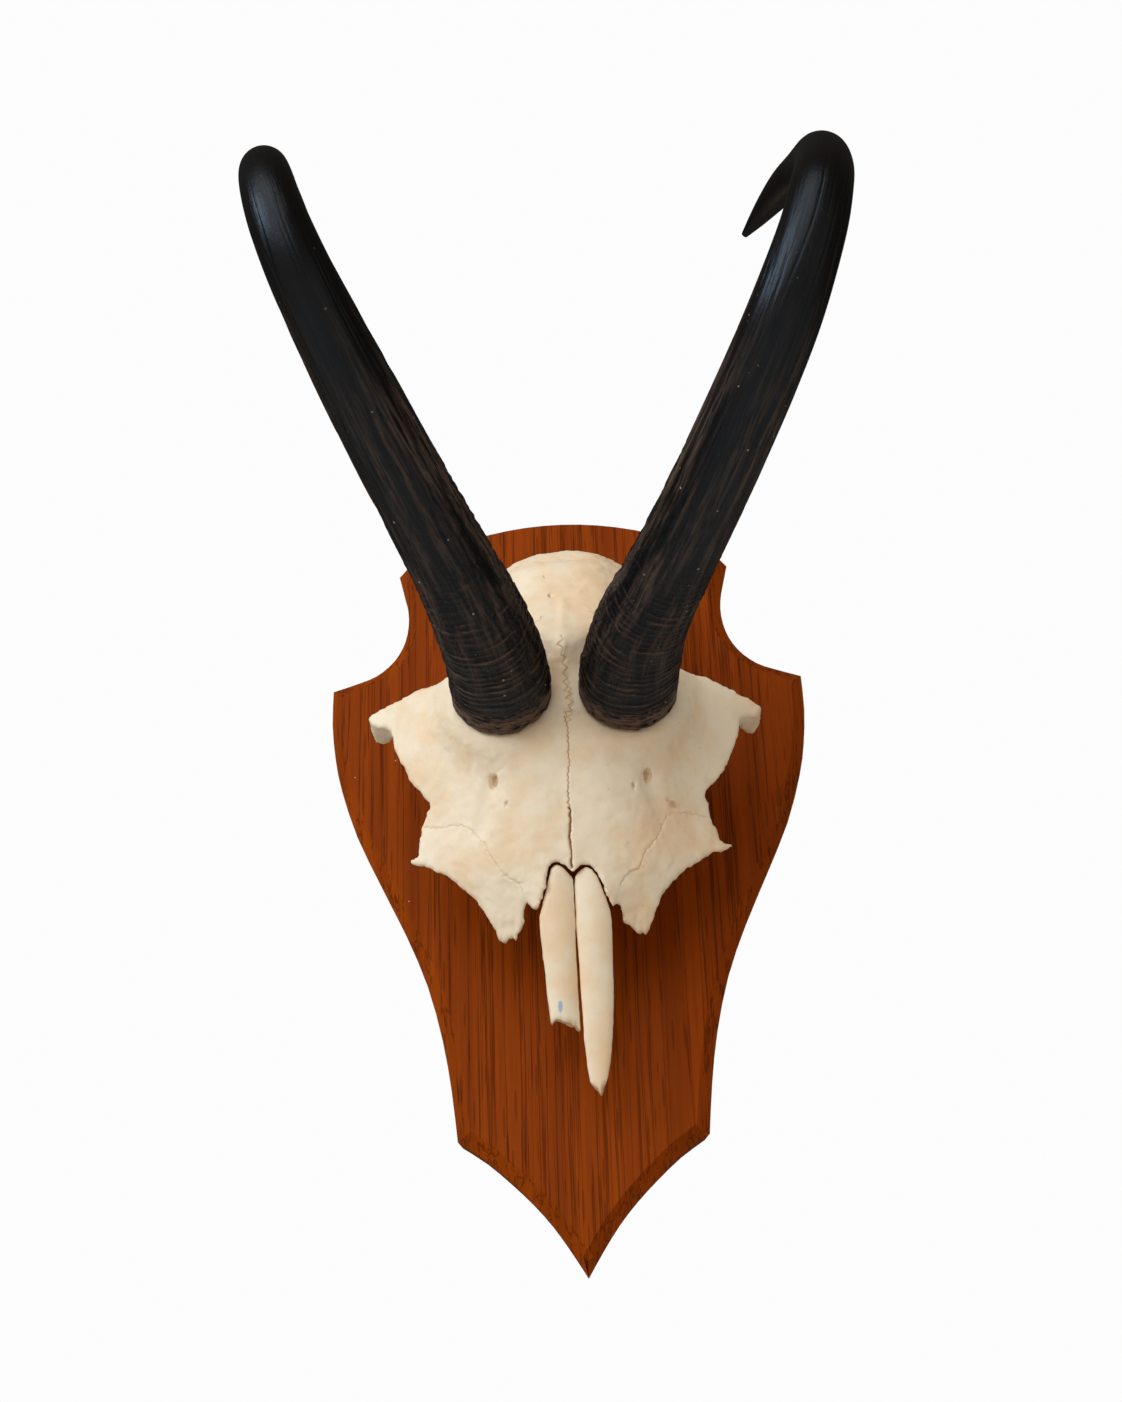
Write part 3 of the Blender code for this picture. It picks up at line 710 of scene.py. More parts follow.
@dataclass(frozen=True)
class BoneFinish:
    """Dry bleached bone.

    Attributes:
        pale: its cleanest colour.
        cream: its commonest colour.
        tan: where grease and horn have stained it, and painted shade on faces that do not face out
            from the plaque.
        crack: the dark of sutures and cracks, with painted shade inside the deepest crack.
        hollow: painted shade inside vessel holes.
        ink: of the smudge on the left nasal bone.
        roughness: where it is cleanest.
        swells: height of its soft unevenness, in metres.
        grain: height of its fine grain, in metres.
    """

    pale: Colour = (0.90, 0.79, 0.61)
    cream: Colour = (0.86, 0.65, 0.43)
    tan: Colour = (0.52, 0.31, 0.14)
    crack: Colour = (0.15, 0.060, 0.02)
    hollow: Colour = (0.50, 0.31, 0.15)
    ink: Colour = (0.22, 0.40, 0.70)
    roughness: float = 0.55
    swells: float = 0.00016
    grain: float = 0.00004

    def material(self, effects: Effects) -> bpy.types.Material:
        """The finished material.

        Args:
            effects: the shared node groups.

        Returns:
            The material.
        """
        made, graph, shader = new_material("bone_fine")
        place = graph.place()
        clouds = graph.step(graph.noise(place, 62.0, 4.0, 0.6), 0.35, 0.66)
        colour = graph.mix(clouds, self.pale, self.cream)
        # Tan from stains, and painted warm shade on faces that do not face out from the plaque.
        stain_and_shade = use_group(graph, effects.worn, Vector=place, Relief=graph.read("stain_and_shade"),
                         Low=0.15, High=1.1, Scale=170.0, Breakup=0.7)
        colour = graph.mix(graph.math("MULTIPLY", stain_and_shade.outputs["Mask"], 0.75), colour, self.tan)
        flecks = use_group(graph, effects.specks, Vector=place, Scale=520.0, Size=0.16, Share=0.10)
        colour = graph.mix(graph.math("MULTIPLY", flecks.outputs["Mask"], 0.35), colour, self.tan)
        lines = use_group(graph, effects.worn, Vector=place, Relief=graph.read("seam"),
                          Low=0.10, High=0.50, Scale=700.0, Breakup=0.30)
        colour = graph.mix(graph.math("MULTIPLY", lines.outputs["Mask"], 0.8), colour, self.tan)
        # Dark joints, with painted shade inside the deepest crack.
        colour = graph.mix(graph.step(graph.read("seam"), 0.6, 0.95), colour, self.crack)
        # Painted shade inside the vessel holes.
        holes = graph.step(graph.read("hole"), 0.25, 0.9)
        colour = graph.mix(graph.math("MULTIPLY", holes, 0.75), colour, self.hollow)
        smudge = use_group(graph, effects.worn, Vector=place, Relief=graph.read("ink"),
                           Low=0.35, High=0.75, Scale=900.0, Breakup=0.9)
        colour = graph.mix(graph.math("MULTIPLY", smudge.outputs["Mask"], 0.75), colour, self.ink)
        graph.feed(shader.inputs["Base Color"], colour)
        rough = graph.span(clouds, self.roughness, self.roughness + 0.12)
        graph.feed(shader.inputs["Roughness"], rough)
        shader.inputs["Subsurface Weight"].default_value = 0.12
        shader.inputs["Subsurface Radius"].default_value = (1.0, 0.7, 0.45)
        shader.inputs["Subsurface Scale"].default_value = 0.0012
        grain = graph.noise(place, 900.0, 3.0, 0.6)
        soft = graph.noise(place, 190.0, 3.0, 0.55)
        normal = graph.bumps(soft, self.swells)
        graph.feed(shader.inputs["Normal"], graph.bumps(grain, self.grain, 1.0, normal))
        return made


@dataclass(frozen=True)
class HornFinish:
    """Black horn: dull, ringed and bronzed below, scuffed in the middle, half glossy above.

    Attributes:
        black: its commonest colour.
        bronze: where the rings are worn.
        scuff: where its sides are rubbed.
        fleck: of pale specks.
        base_roughness: at the foot.
        tip_roughness: near the hook.
        gloss: level of its reflections.
        shine: colour of its reflections.
        relief: height of its fine grain and fibres, in metres.
    """

    black: Colour = (0.0052, 0.0038, 0.0032)
    bronze: Colour = (0.165, 0.088, 0.050)
    scuff: Colour = (0.125, 0.082, 0.060)
    fleck: Colour = (0.46, 0.36, 0.26)
    base_roughness: float = 0.52
    tip_roughness: float = 0.33
    gloss: float = 0.29
    shine: Colour = (0.62, 0.80, 1.0)
    relief: float = 0.00046

    def material(self, effects: Effects) -> bpy.types.Material:
        """The finished material.

        Args:
            effects: the shared node groups.

        Returns:
            The material.
        """
        made, graph, shader = new_material("horn_fine")
        place = graph.place()
        along = graph.read("along")
        sheath = graph.read("sheath", vector=True)
        ridges = use_group(graph, effects.worn, Vector=place, Relief=graph.read("ridge"),
                           Low=0.30, High=0.95, Scale=260.0, Breakup=1.3)
        low = graph.math("SUBTRACT", 1.0, graph.step(along, 0.16, 0.42))
        worn = graph.math("MULTIPLY", ridges.outputs["Mask"], low)
        colour = graph.mix(graph.math("MULTIPLY", worn, 0.75), self.black, self.bronze)
        fibres = use_group(graph, effects.worn, Vector=graph.stretched(sheath, (0.35, 0.35, 1.8)),
                           Relief=graph.read("foot"), Low=0.66, High=1.15, Scale=1.1, Breakup=2.8)
        colour = graph.mix(graph.math("MULTIPLY", fibres.outputs["Mask"], 0.8), colour, self.bronze)
        drawn_out = graph.stretched(sheath, (1.0, 1.0, 0.07))
        streaks = use_group(graph, effects.streaks, Vector=drawn_out, Broad=0.35, Fine=1.3)
        rubbed = graph.math("MULTIPLY", graph.step(streaks.outputs["Bands"], 0.36, 0.66),
                            graph.read("scuff"))
        rubbed = graph.math("MULTIPLY", rubbed, graph.step(streaks.outputs["Lines"], 0.35, 0.6))
        colour = graph.mix(rubbed, colour, self.scuff)
        flecks = use_group(graph, effects.specks, Vector=place, Scale=480.0, Size=0.16, Share=0.20)
        shown = graph.math("MULTIPLY", flecks.outputs["Mask"],
                           graph.math("SUBTRACT", 1.0, graph.step(along, 0.35, 0.75)))
        colour = graph.mix(graph.math("MULTIPLY", shown, 0.8), colour, self.fleck)
        graph.feed(shader.inputs["Base Color"], colour)
        smooth = graph.step(along, 0.12, 0.52)
        rough = graph.span(smooth, self.base_roughness, self.tip_roughness)
        rough = graph.math("ADD", rough, graph.math("MULTIPLY", rubbed, 0.2))
        graph.feed(shader.inputs["Roughness"], rough)
        fine = graph.noise(place, 700.0, 4.0, 0.65)
        fibres_height = graph.math("MULTIPLY", streaks.outputs["Lines"],
                                   graph.span(smooth, 0.6, 0.25))
        height = graph.math("ADD", graph.math("MULTIPLY", fine, graph.span(smooth, 1.0, 0.12)),
                            fibres_height)
        graph.feed(shader.inputs["Normal"], graph.bumps(height, self.relief))
        shader.inputs["Specular IOR Level"].default_value = self.gloss
        shader.inputs["Specular Tint"].default_value = (*self.shine, 1.0)
        return made


@dataclass(frozen=True)
class SteelFinish:
    """Zinc-plated steel with faint mottling.

    Attributes:
        bright: its clean colour.
        dull: its mottled colour.
    """

    bright: Colour = (0.62, 0.61, 0.57)
    dull: Colour = (0.40, 0.39, 0.36)

    def material(self, effects: Effects) -> bpy.types.Material:
        """The finished material.

        Args:
            effects: the shared node groups.

        Returns:
            The material.
        """
        made, graph, shader = new_material("steel_fine")
        place = graph.place()
        streaks = use_group(graph, effects.streaks, Vector=graph.stretched(place, (1.0, 1.0, 0.2)),
                            Broad=300.0, Fine=2400.0)
        colour = graph.mix(streaks.outputs["Bands"], self.bright, self.dull)
        graph.feed(shader.inputs["Base Color"], colour)
        shader.inputs["Metallic"].default_value = 1.0
        graph.feed(shader.inputs["Roughness"], graph.span(streaks.outputs["Lines"], 0.25, 0.5))
        graph.feed(shader.inputs["Normal"], graph.bumps(streaks.outputs["Lines"], 0.00002))
        return made


@dataclass
class HornSheath:
    """One horn, from its ragged foot over its growth rings and furrows to the hook.

    Attributes:
        side: which horn it is.
        line: middle line and radius as (x, height, z, radius), from the base to the tip.
        seed: of its own relief.
        around: points round it.
        fine_step: distance between its rows over the growth rings.
        coarse_step: distance between its rows above them.
        ring_end: how far up the growth rings reach.
        ring_relief: how far a ring stands out.
        furrow_relief: depth of the long furrows.
        blister_relief: depth of the pitted skin on its inner side.
    """

    side: Side
    line: list[Station]
    seed: int
    around: int = 210
    fine_step: float = 0.27
    coarse_step: float = 0.85
    ring_end: float = 62.0
    ring_relief: float = 0.62
    furrow_relief: float = 0.42
    blister_relief: float = 0.62

    def centre_line(self) -> tuple[np.ndarray, np.ndarray, np.ndarray]:
        """Stations, distances along the horn and the two directions across it.

        Returns:
            Rows of (x, height, z, radius), their distances from the base, and an array of the
            two unit vectors across the horn at each row.
        """
        fine = smooth_path(self.line, 24)
        gaps = np.linalg.norm(np.diff(fine[:, :3], axis=0), axis=1)
        travelled = np.concatenate([[0.0], np.cumsum(gaps)])
        below = np.arange(0.0, self.ring_end, self.fine_step)
        above = np.arange(self.ring_end, travelled[-1], self.coarse_step)
        distance = np.concatenate([below, above, travelled[-1:]])
        stations = np.stack([np.interp(distance, travelled, fine[:, k]) for k in range(4)], 1)
        way = np.gradient(stations[:, :3], axis=0)
        way[0] = np.subtract(self.line[1][:3], self.line[0][:3])
        way /= np.linalg.norm(way, axis=1)[:, None]
        across = np.array([0.0, 0.0, 1.0])
        frames = []
        for ahead in way:
            across = across - ahead * (across @ ahead)
            across /= np.linalg.norm(across)
            frames.append((across, np.cross(ahead, across)))
        return stations, distance, np.array(frames)

    def relief(self, sheath: np.ndarray, inner: np.ndarray) -> dict[str, np.ndarray]:
        """The relief of the sheath and the masks that its finish reads.

        Args:
            sheath: (round, round, along) places on the unrolled sheath in millimetres.
            inner: 1 where it faces the other horn, -1 where it faces away.

        Returns:
            The relief in millimetres under "relief", and the masks "ridge", "foot" and "scuff".
        """
        along = sheath[:, 2]
        chance = np.random.default_rng(self.seed)
        wave = Lattice(self.seed + 10).at(sheath, (9.0, 9.0, 16.0))
        wave += Lattice(self.seed + 11).at(sheath, (3.0, 3.0, 5.0)) * 0.28
        rings = np.cumsum(chance.uniform(1.5, 2.7, 34)) + 1.5
        course = along + wave
        above = np.clip(np.searchsorted(rings, course), 1, len(rings) - 1)
        phase = np.clip((course - rings[above - 1]) / (rings[above] - rings[above - 1]), 0.0, 1.0)
        strength = 0.65 + 0.70 * Lattice(self.seed + 120).at(sheath, (7.0, 7.0, 2.0))
        ridge = strength * phase**1.5 * (1.0 - soft_step(0.80, 1.0, phase))
        fade = 1.0 - soft_step(0.55 * self.ring_end, 1.35 * self.ring_end, along)
        ridge *= fade
        wrinkle = Lattice(self.seed + 50).layers(sheath * (0.22, 0.22, 1.0), 0.9, 3)
        relief = self.ring_relief * ridge + 0.20 * wrinkle * (1.0 - soft_step(18.0, 60.0, along))
        narrow = Lattice(self.seed + 60).at(sheath, (1.5, 1.5, 34.0))
        wide = Lattice(self.seed + 61).at(sheath, (2.4, 2.4, 55.0))
        furrow = np.minimum(np.abs(narrow), np.abs(wide) + 0.05)
        cut = 1.0 - soft_step(0.0, 0.22, furrow)
        middle = bump(38.0, 150.0, 26.0, along) * (0.35 + 0.65 * soft_step(0.3, -0.5, inner))
        relief -= self.furrow_relief * cut * middle
        cords = Lattice(self.seed + 62).at(sheath, (4.0, 4.0, 45.0))
        relief += 0.10 * cords * bump(20.0, 170.0, 20.0, along)
        skin = Lattice(self.seed + 70).layers(sheath, 2.1, 3)
        rough_side = soft_step(0.15, 0.75, inner) * bump(6.0, 92.0, 9.0, along)
        relief += self.blister_relief * rough_side * np.minimum(skin, 0.12)
        grit = Lattice(self.seed + 80).layers(sheath, 0.9, 2)
        relief += 0.05 * grit * (1.0 - soft_step(60.0, 150.0, along))
        lip = 1.9 + 0.7 * Lattice(self.seed + 90).at(sheath, (5.0, 5.0, 500.0))
        torn = Lattice(self.seed + 97).layers(sheath * (0.35, 0.35, 1.5), 1.3, 2)
        relief += 0.30 * torn * (1.0 - soft_step(5.0, 17.0, along))
        patches = Lattice(self.seed + 98).at(sheath, (8.0, 8.0, 500.0))
        open_lip = 0.35 + 0.65 * soft_step(-0.3, 0.3, patches)
        relief -= 0.95 * open_lip * np.exp(-((along - lip) / 0.42)**2)
        foot = 1.0 - soft_step(3.0, 15.0, along)
        scuff = bump(22.0, 118.0, 30.0, along) * (0.35 + 0.65 * np.abs(inner))
        return {"relief": relief, "ridge": np.clip(ridge, 0.0, 1.0), "foot": foot, "scuff": scuff}

    def build(self) -> bpy.types.Object:
        """The horn as one closed mesh with the values that its finish reads.

        Returns:
            The horn.
        """
        stations, distance, frames = self.centre_line()
        rows = len(stations)
        angle = np.linspace(0.0, 2.0 * math.pi, self.around, endpoint=False)
        spoke = (frames[:, 0, None, :] * np.cos(angle)[None, :, None]
                 + frames[:, 1, None, :] * np.sin(angle)[None, :, None]).reshape(-1, 3)
        radius = np.repeat(stations[:, 3], self.around)
        travelled = np.repeat(distance, self.around)
        turn = np.tile(angle, rows)
        sheath = np.stack([radius * np.cos(turn), radius * np.sin(turn), travelled], 1)
        inner = -self.side.value * spoke[:, 0]
        made = self.relief(sheath, inner)
        keep = soft_step(0.0, 6.0, distance[-1] - travelled)
        relief = made["relief"] * keep * np.minimum(1.0, radius / 6.0)
        centre = np.repeat(stations[:, :3], self.around, axis=0)
        points = centre + spoke * (radius + relief)[:, None]
        ragged = 0.45 * (1.0 + Lattice(self.seed + 95).layers(sheath * (1.0, 1.0, 0.0), 1.8, 3))
        lift = ragged * (1.0 - soft_step(0.0, 2.5, travelled))
        points += np.repeat(self.ahead(stations), self.around, axis=0) * lift[:, None]
        ends = np.stack([stations[0, :3] + self.ahead(stations)[0] * 1.0, stations[-1, :3]])
        points = np.concatenate([points, ends])
        faces = []
        for row in range(rows - 1):
            start = row * self.around
            for k in range(self.around):
                a = start + k
                b = start + (k + 1) % self.around
                faces.append((a, b, b + self.around, a + self.around))
        foot, tip = len(points) - 2, len(points) - 1
        last = (rows - 1) * self.around
        for k in range(self.around):
            after = (k + 1) % self.around
            faces.append((after, k, foot))
            faces.append((last + k, last + after, tip))
        mesh = bpy.data.meshes.new(f"horn_{self.side.name.lower()}_sheath")
        mesh.from_pydata(to_world(points).tolist(), [], faces)
        body = bmesh.new()
        body.from_mesh(mesh)
        bmesh.ops.recalc_face_normals(body, faces=body.faces)
        body.to_mesh(mesh)
        body.free()
        mesh.shade_smooth()
        for name in ("ridge", "foot", "scuff"):
            write_attribute(mesh, name, np.concatenate([made[name], made[name][:2]]))
        write_attribute(mesh, "along", np.concatenate([travelled / distance[-1], [0.0, 1.0]]))
        write_attribute(mesh, "sheath", np.concatenate([sheath, sheath[:2]]))
        return link_object(mesh.name, mesh)

    @staticmethod
    def ahead(stations: np.ndarray) -> np.ndarray:
        """The unit direction along the horn at each station."""
        way = np.gradient(stations[:, :3], axis=0)
        return way / np.linalg.norm(way, axis=1)[:, None]

    def dress(self, finish: bpy.types.Material) -> bpy.types.Object:
        """Build the horn and put it in its node's place.

        Args:
            finish: its material.

        Returns:
            The horn.
        """
        horn = self.build()
        horn.data.materials.append(finish)
        return settle(horn, f"horn_{self.side.name.lower()}")


@dataclass(frozen=True)
class Seam:
    """A suture or crack on the skull's outer face.

    Attributes:
        points: its course as (x, z).
        width: of its groove.
        depth: of its groove.
        sway: how far it zigzags.
        pace: length of a zigzag.
        shade: how dark it is, from 0 to 1.
        seed: of its zigzags.
    """

    points: list[Point2]
    width: float = 0.34
    depth: float = 0.25
    sway: float = 0.25
    pace: float = 0.9
    shade: float = 1.0
    seed: int = 1

    def course(self) -> np.ndarray:
        """The zigzag line as (x, z) rows.

        Returns:
            One row a point of the line.
        """
        line = smooth_path(self.points, 12)
        travelled = np.concatenate([[0.0], np.cumsum(np.hypot(*np.diff(line, axis=0).T))])
        count = max(2, int(travelled[-1] / self.pace) + 1)
        places = np.linspace(0.0, travelled[-1], count)
        path = np.stack([np.interp(places, travelled, line[:, k]) for k in range(2)], 1)
        way = np.gradient(path, axis=0)
        way /= np.maximum(np.hypot(*way.T), 1e-9)[:, None]
        chance = np.random.default_rng(self.seed)
        turn = np.where(np.arange(count) % 2, 1.0, -1.0)
        shift = self.sway * chance.uniform(0.4, 1.0, count) * turn
        return path + np.stack([-way[:, 1], way[:, 0]], 1) * shift[:, None]


THIN_KEPT = 1.02


def fine_bone(node: str, name: str, voxel: float, passes: int) -> bpy.types.Object:
    """A dense and softened copy of a bone's solid.

    Args:
        node: the CAD node.
        name: the new object's name.
        voxel: size of its faces in millimetres.
        passes: how often it is smoothed.

    Returns:
        The new object.
    """
    bone = node_copy(node, name)
    remesh = bone.modifiers.new("fine", "REMESH")
    remesh.mode = "VOXEL"
    remesh.voxel_size = voxel * MM
    apply_modifiers(bone)
    mesh = bone.data
    edges = read_edges(mesh)
    everywhere = np.ones(len(mesh.vertices))
    write_points(mesh, smoothed(read_points(mesh), edges, passes, everywhere, THIN_KEPT))
    return bone


def refine(mesh: bpy.types.Mesh, chosen: np.ndarray) -> None:
    """Split the edges between chosen points once.

    Args:
        mesh: the mesh.
        chosen: true for each point whose edges are split.
    """
    body = bmesh.new()
    body.from_mesh(mesh)
    body.verts.ensure_lookup_table()
    edges = [e for e in body.edges if chosen[e.verts[0].index] and chosen[e.verts[1].index]]
    bmesh.ops.subdivide_edges(body, edges=edges, cuts=1, use_grid_fill=True)
    bmesh.ops.triangulate(body, faces=[f for f in body.faces if len(f.verts) > 4])
    body.to_mesh(mesh)
    body.free()
    mesh.update()


@dataclass
class SkullCap:
    """The cut skull: forehead, brow, snout root and braincase in one bone.

    Attributes:
        voxel: size of its faces.
        passes: how often the whole bone is smoothed.
        face_passes: how often its outer face is smoothed again.
        holes: vessel holes as (x, z, radius, depth).
        grooves: shallow runnels below the largest holes, from start to end.
        groove_depth: how deep they are.
        stains: tan places as (x, z, radius, strength).
        crest: the low ridge on the middle of the braincase, from end to end.
        crest_rise: how far it stands out.
        nape: middle of the swelling near the cut edge.
        nape_rise: how far it stands out.
        brim: middle of the dip above it.
        brim_dip: how deep it is.
        fray: how far the edges wander, coarse and fine.
        splinter: how far the broken snout is frayed.
        socket_hollow: how far the eye sockets' walls are drawn in.
    """

    voxel: float = 0.80
    passes: int = 8
    face_passes: int = 36
    groove_depth: float = 0.6
    crest: tuple[Point2, Point2] = ((-0.8, 8.0), (-1.1, -3.0))
    crest_rise: float = 0.40
    nape: Point2 = (0.9, 21.5)
    nape_rise: float = 1.0
    brim: Point2 = (0.9, 27.5)
    brim_dip: float = 0.8
    fray: tuple[float, float] = (0.36, 0.20)
    splinter: float = 0.9
    socket_hollow: float = 3.0
    holes: list[tuple[float, float, float, float]] = field(default_factory=lambda: [
        (20.3, -43.0, 1.1, 1.1), (-20.7, -43.0, 1.15, 1.1), (16.3, -46.7, 0.7, 0.35),
        (-17.3, -50.0, 0.6, 0.35), (-5.3, 17.8, 0.4, 0.4), (-4.0, 10.1, 0.5, 0.5)])
    grooves: list[tuple[Point2, Point2]] = field(default_factory=lambda: [
        ((20.6, -45.0), (23.3, -57.0)), ((-21.2, -45.0), (-24.0, -56.0))])
    stains: list[tuple[float, float, float, float]] = field(default_factory=lambda: [
        (25.0, -49.0, 0.9, 0.8), (26.5, -50.1, 1.3, 0.9), (-17.6, -21.0, 16.5, 0.55),
        (15.7, -21.1, 16.5, 0.55), (0.0, -30.0, 6.0, 0.35), (-12.0, -43.0, 9.0, 0.25),
        (12.0, -43.0, 11.0, 0.3), (46.0, -22.0, 6.0, 0.25), (-47.0, -22.0, 6.0, 0.25)])

    @staticmethod
    def seams() -> list[Seam]:
        """The sutures and cracks of the outer face.

        Returns:
            The seams.
        """
        return [
            Seam([(-1.2, -6.1), (-1.7, -9.5), (-0.5, -14.5), (-0.5, -20.0), (0.5, -25.3),
                  (-1.0, -29.3)], 0.28, 0.12, 1.0, 1.2, 0.45, 3),
            Seam([(0.2, -18.0), (0.9, -24.0), (-0.2, -31.0)], 0.26, 0.10, 0.6, 0.8, 0.38, 9),
            Seam([(-1.0, -29.3), (-0.5, -33.9), (-0.4, -37.9), (-0.5, -42.8), (-0.9, -47.5),
                  (-0.7, -53.2)], 0.17, 0.30, 0.20, 0.7, 0.85, 4),
            Seam([(-0.7, -53.2), (-0.9, -60.1), (-0.6, -67.6)], 0.27, 1.2, 0.03, 2.0, 1.0, 10),
            Seam([(-39.6, -51.1), (-34.4, -52.4), (-31.1, -52.4), (-27.1, -54.4), (-24.1, -58.0),
                  (-21.2, -63.4), (-18.3, -67.4), (-14.8, -70.1), (-13.4, -72.0)], 0.22, 0.20, 0.20,
                 0.8, 0.30, 5),
            Seam([(35.9, -51.7), (30.2, -51.5), (26.2, -52.3), (23.9, -54.7), (22.6, -57.9),
                  (20.7, -61.1), (18.5, -63.6), (16.8, -67.4), (13.8, -68.8), (11.6, -71.2)], 0.22,
                 0.20, 0.20, 0.8, 0.30, 6),
            Seam([(-6.0, 1.0), (-9.0, -2.5), (-8.0, -7.0)], 0.25, 0.10, 0.5, 1.2, 0.35, 7),
            Seam([(6.5, 3.0), (8.5, -1.0), (7.6, -5.0)], 0.25, 0.10, 0.5, 1.2, 0.35, 8),
        ]

    def build(self) -> bpy.types.Object:
        """The skull cap as one closed mesh with the values that its finish reads.

        Returns:
            The skull cap.
        """
        skull = fine_bone("skull_cap", "skull_cap_bone", self.voxel, self.passes)
        mesh = skull.data
        courses = [(seam, seam.course()) for seam in self.seams()]
        for reach in (1.3, 0.7):
            places = read_points(mesh)[:, [0, 2]]
            near = np.zeros(len(places), dtype=bool)
            for _, course in courses:
                near |= line_distance(places, course) < reach
            for x, z, radius, _ in self.holes:
                near |= np.hypot(places[:, 0] - x, places[:, 1] - z) < radius + reach
            near &= read_normals(mesh)[:, 1] > 0.15
            refine(mesh, near)
        points = read_points(mesh)
        edges = read_edges(mesh)
        facing = soft_step(0.15, 0.5, read_normals(mesh)[:, 1])[:, None]
        inside = facing
        for _ in range(5):
            inside = neighbour_mean(inside, edges)
        inside = soft_step(0.80, 1.0, inside[:, 0])
        points = smoothed(points, edges, self.face_passes, inside)
        write_points(mesh, points)
        outer = read_normals(mesh)
        masks = self.carve(points, outer, facing[:, 0], courses)
        write_points(mesh, points + masks.pop("shift"))
        for name, values in masks.items():
            write_attribute(mesh, name, values)
        mesh.shade_smooth()
        return skull

    def carve(self, points: np.ndarray, normals: np.ndarray, facing: np.ndarray,
              courses: list[tuple[Seam, np.ndarray]]) -> dict[str, np.ndarray]:
        """How far each point moves, and the masks of the finish.

        Args:
            points: the mesh's points.
            normals: its normals.
            facing: 1 on the outer face.
            courses: the seams with their lines.

        Returns:
            The moves under "shift" and the masks "seam", "hole", "tint" and "ink".
        """
        places = points[:, [0, 2]]
        depth = np.zeros(len(points))
        seam_mask = np.zeros(len(points))
        for seam, course in courses:
            away = line_distance(places, course)
            groove = np.exp(-(away / seam.width)**2)
            depth += seam.depth * groove
            seam_mask = np.maximum(seam_mask, seam.shade * groove)
        # The vessel holes are carved, and their insides are painted with shade.
        pit_shade_mask = np.zeros(len(points))
        for x, z, radius, deep in self.holes:
            fall = places[:, 1] - z
            away = np.hypot(places[:, 0] - x, np.where(fall < 0.0, fall / 2.4, fall))
            depth += deep * (1.0 - soft_step(0.55 * radius, 1.15 * radius, away))
            pit_shade_mask = np.maximum(pit_shade_mask, 1.0 - soft_step(0.2 * radius, 0.9 * radius, away))
        for start, end in self.grooves:
            away = line_distance(places, np.array([start, end]))
            across = 1.0 - soft_step(0.3, 3.4, away)
            depth += self.groove_depth * across * soft_step(-60.0, -50.0, places[:, 1])
        depth += 0.55 * soft_step(2.0, 12.0, places[:, 1]) * Lattice(33).layers(points, 7.0, 3)
        swells = 0.35 * Lattice(31).layers(points, 9.0, 3)
        depth += swells + 0.10 * Lattice(35).layers(points, 2.4, 2)
        crest = line_distance(places, np.array(self.crest))
        depth -= self.crest_rise * np.exp(-(crest / 1.1)**2)
        nape = np.hypot(*((places - self.nape) / (15.0, 5.0)).T)
        depth -= self.nape_rise * np.exp(-nape**2)
        brim = np.hypot(*((places - self.brim) / (17.0, 3.2)).T)
        depth += self.brim_dip * np.exp(-brim**2)
        shift = -normals * (depth * facing)[:, None]
        for axis, coarse_seed, fine_seed in ((0, 41, 42), (2, 44, 43)):
            shift[:, axis] += self.fray[0] * Lattice(coarse_seed).layers(points, 2.2, 3)
            shift[:, axis] += self.fray[1] * Lattice(fine_seed).layers(points, 1.1, 2)
        frayed = soft_step(-75.0, -79.5, points[:, 2])
        shift[:, 2] += self.splinter * frayed * Lattice(47).at(points, (0.75, 4.0, 6.0))
        side = np.sign(points[:, 0])
        outward = soft_step(0.3, 0.8, normals[:, 0] * side)
        hollow = bump(10.0, 28.0, 6.0, points[:, 1]) * bump(0.0, 22.0, 6.0, points[:, 2])
        hollow *= soft_step(18.0, 26.0, np.abs(points[:, 0])) * outward
        shift[:, 0] -= side * self.socket_hollow * hollow
        stain_and_shade = np.zeros(len(points))
        for x, z, radius, strength in self.stains:
            away = np.hypot(places[:, 0] - x, places[:, 1] - z)
            stain_and_shade = np.maximum(stain_and_shade, strength * (1.0 - soft_step(0.5 * radius, 1.2 * radius, away)))
        # Faces that do not face out from the plaque are painted tan as shade.
        stain_and_shade = np.maximum(stain_and_shade, 0.55 * (1.0 - facing))
        return {"shift": shift, "seam": seam_mask * facing, "hole": pit_shade_mask * facing,
                "stain_and_shade": stain_and_shade, "ink": np.zeros(len(points))}

    def dress(self, finish: bpy.types.Material) -> bpy.types.Object:
        """Build the skull cap and put it in its node's place.

        Args:
            finish: its material.

        Returns:
            The skull cap.
        """
        skull = self.build()
        skull.data.materials.append(finish)
        return settle(skull, "skull_cap")


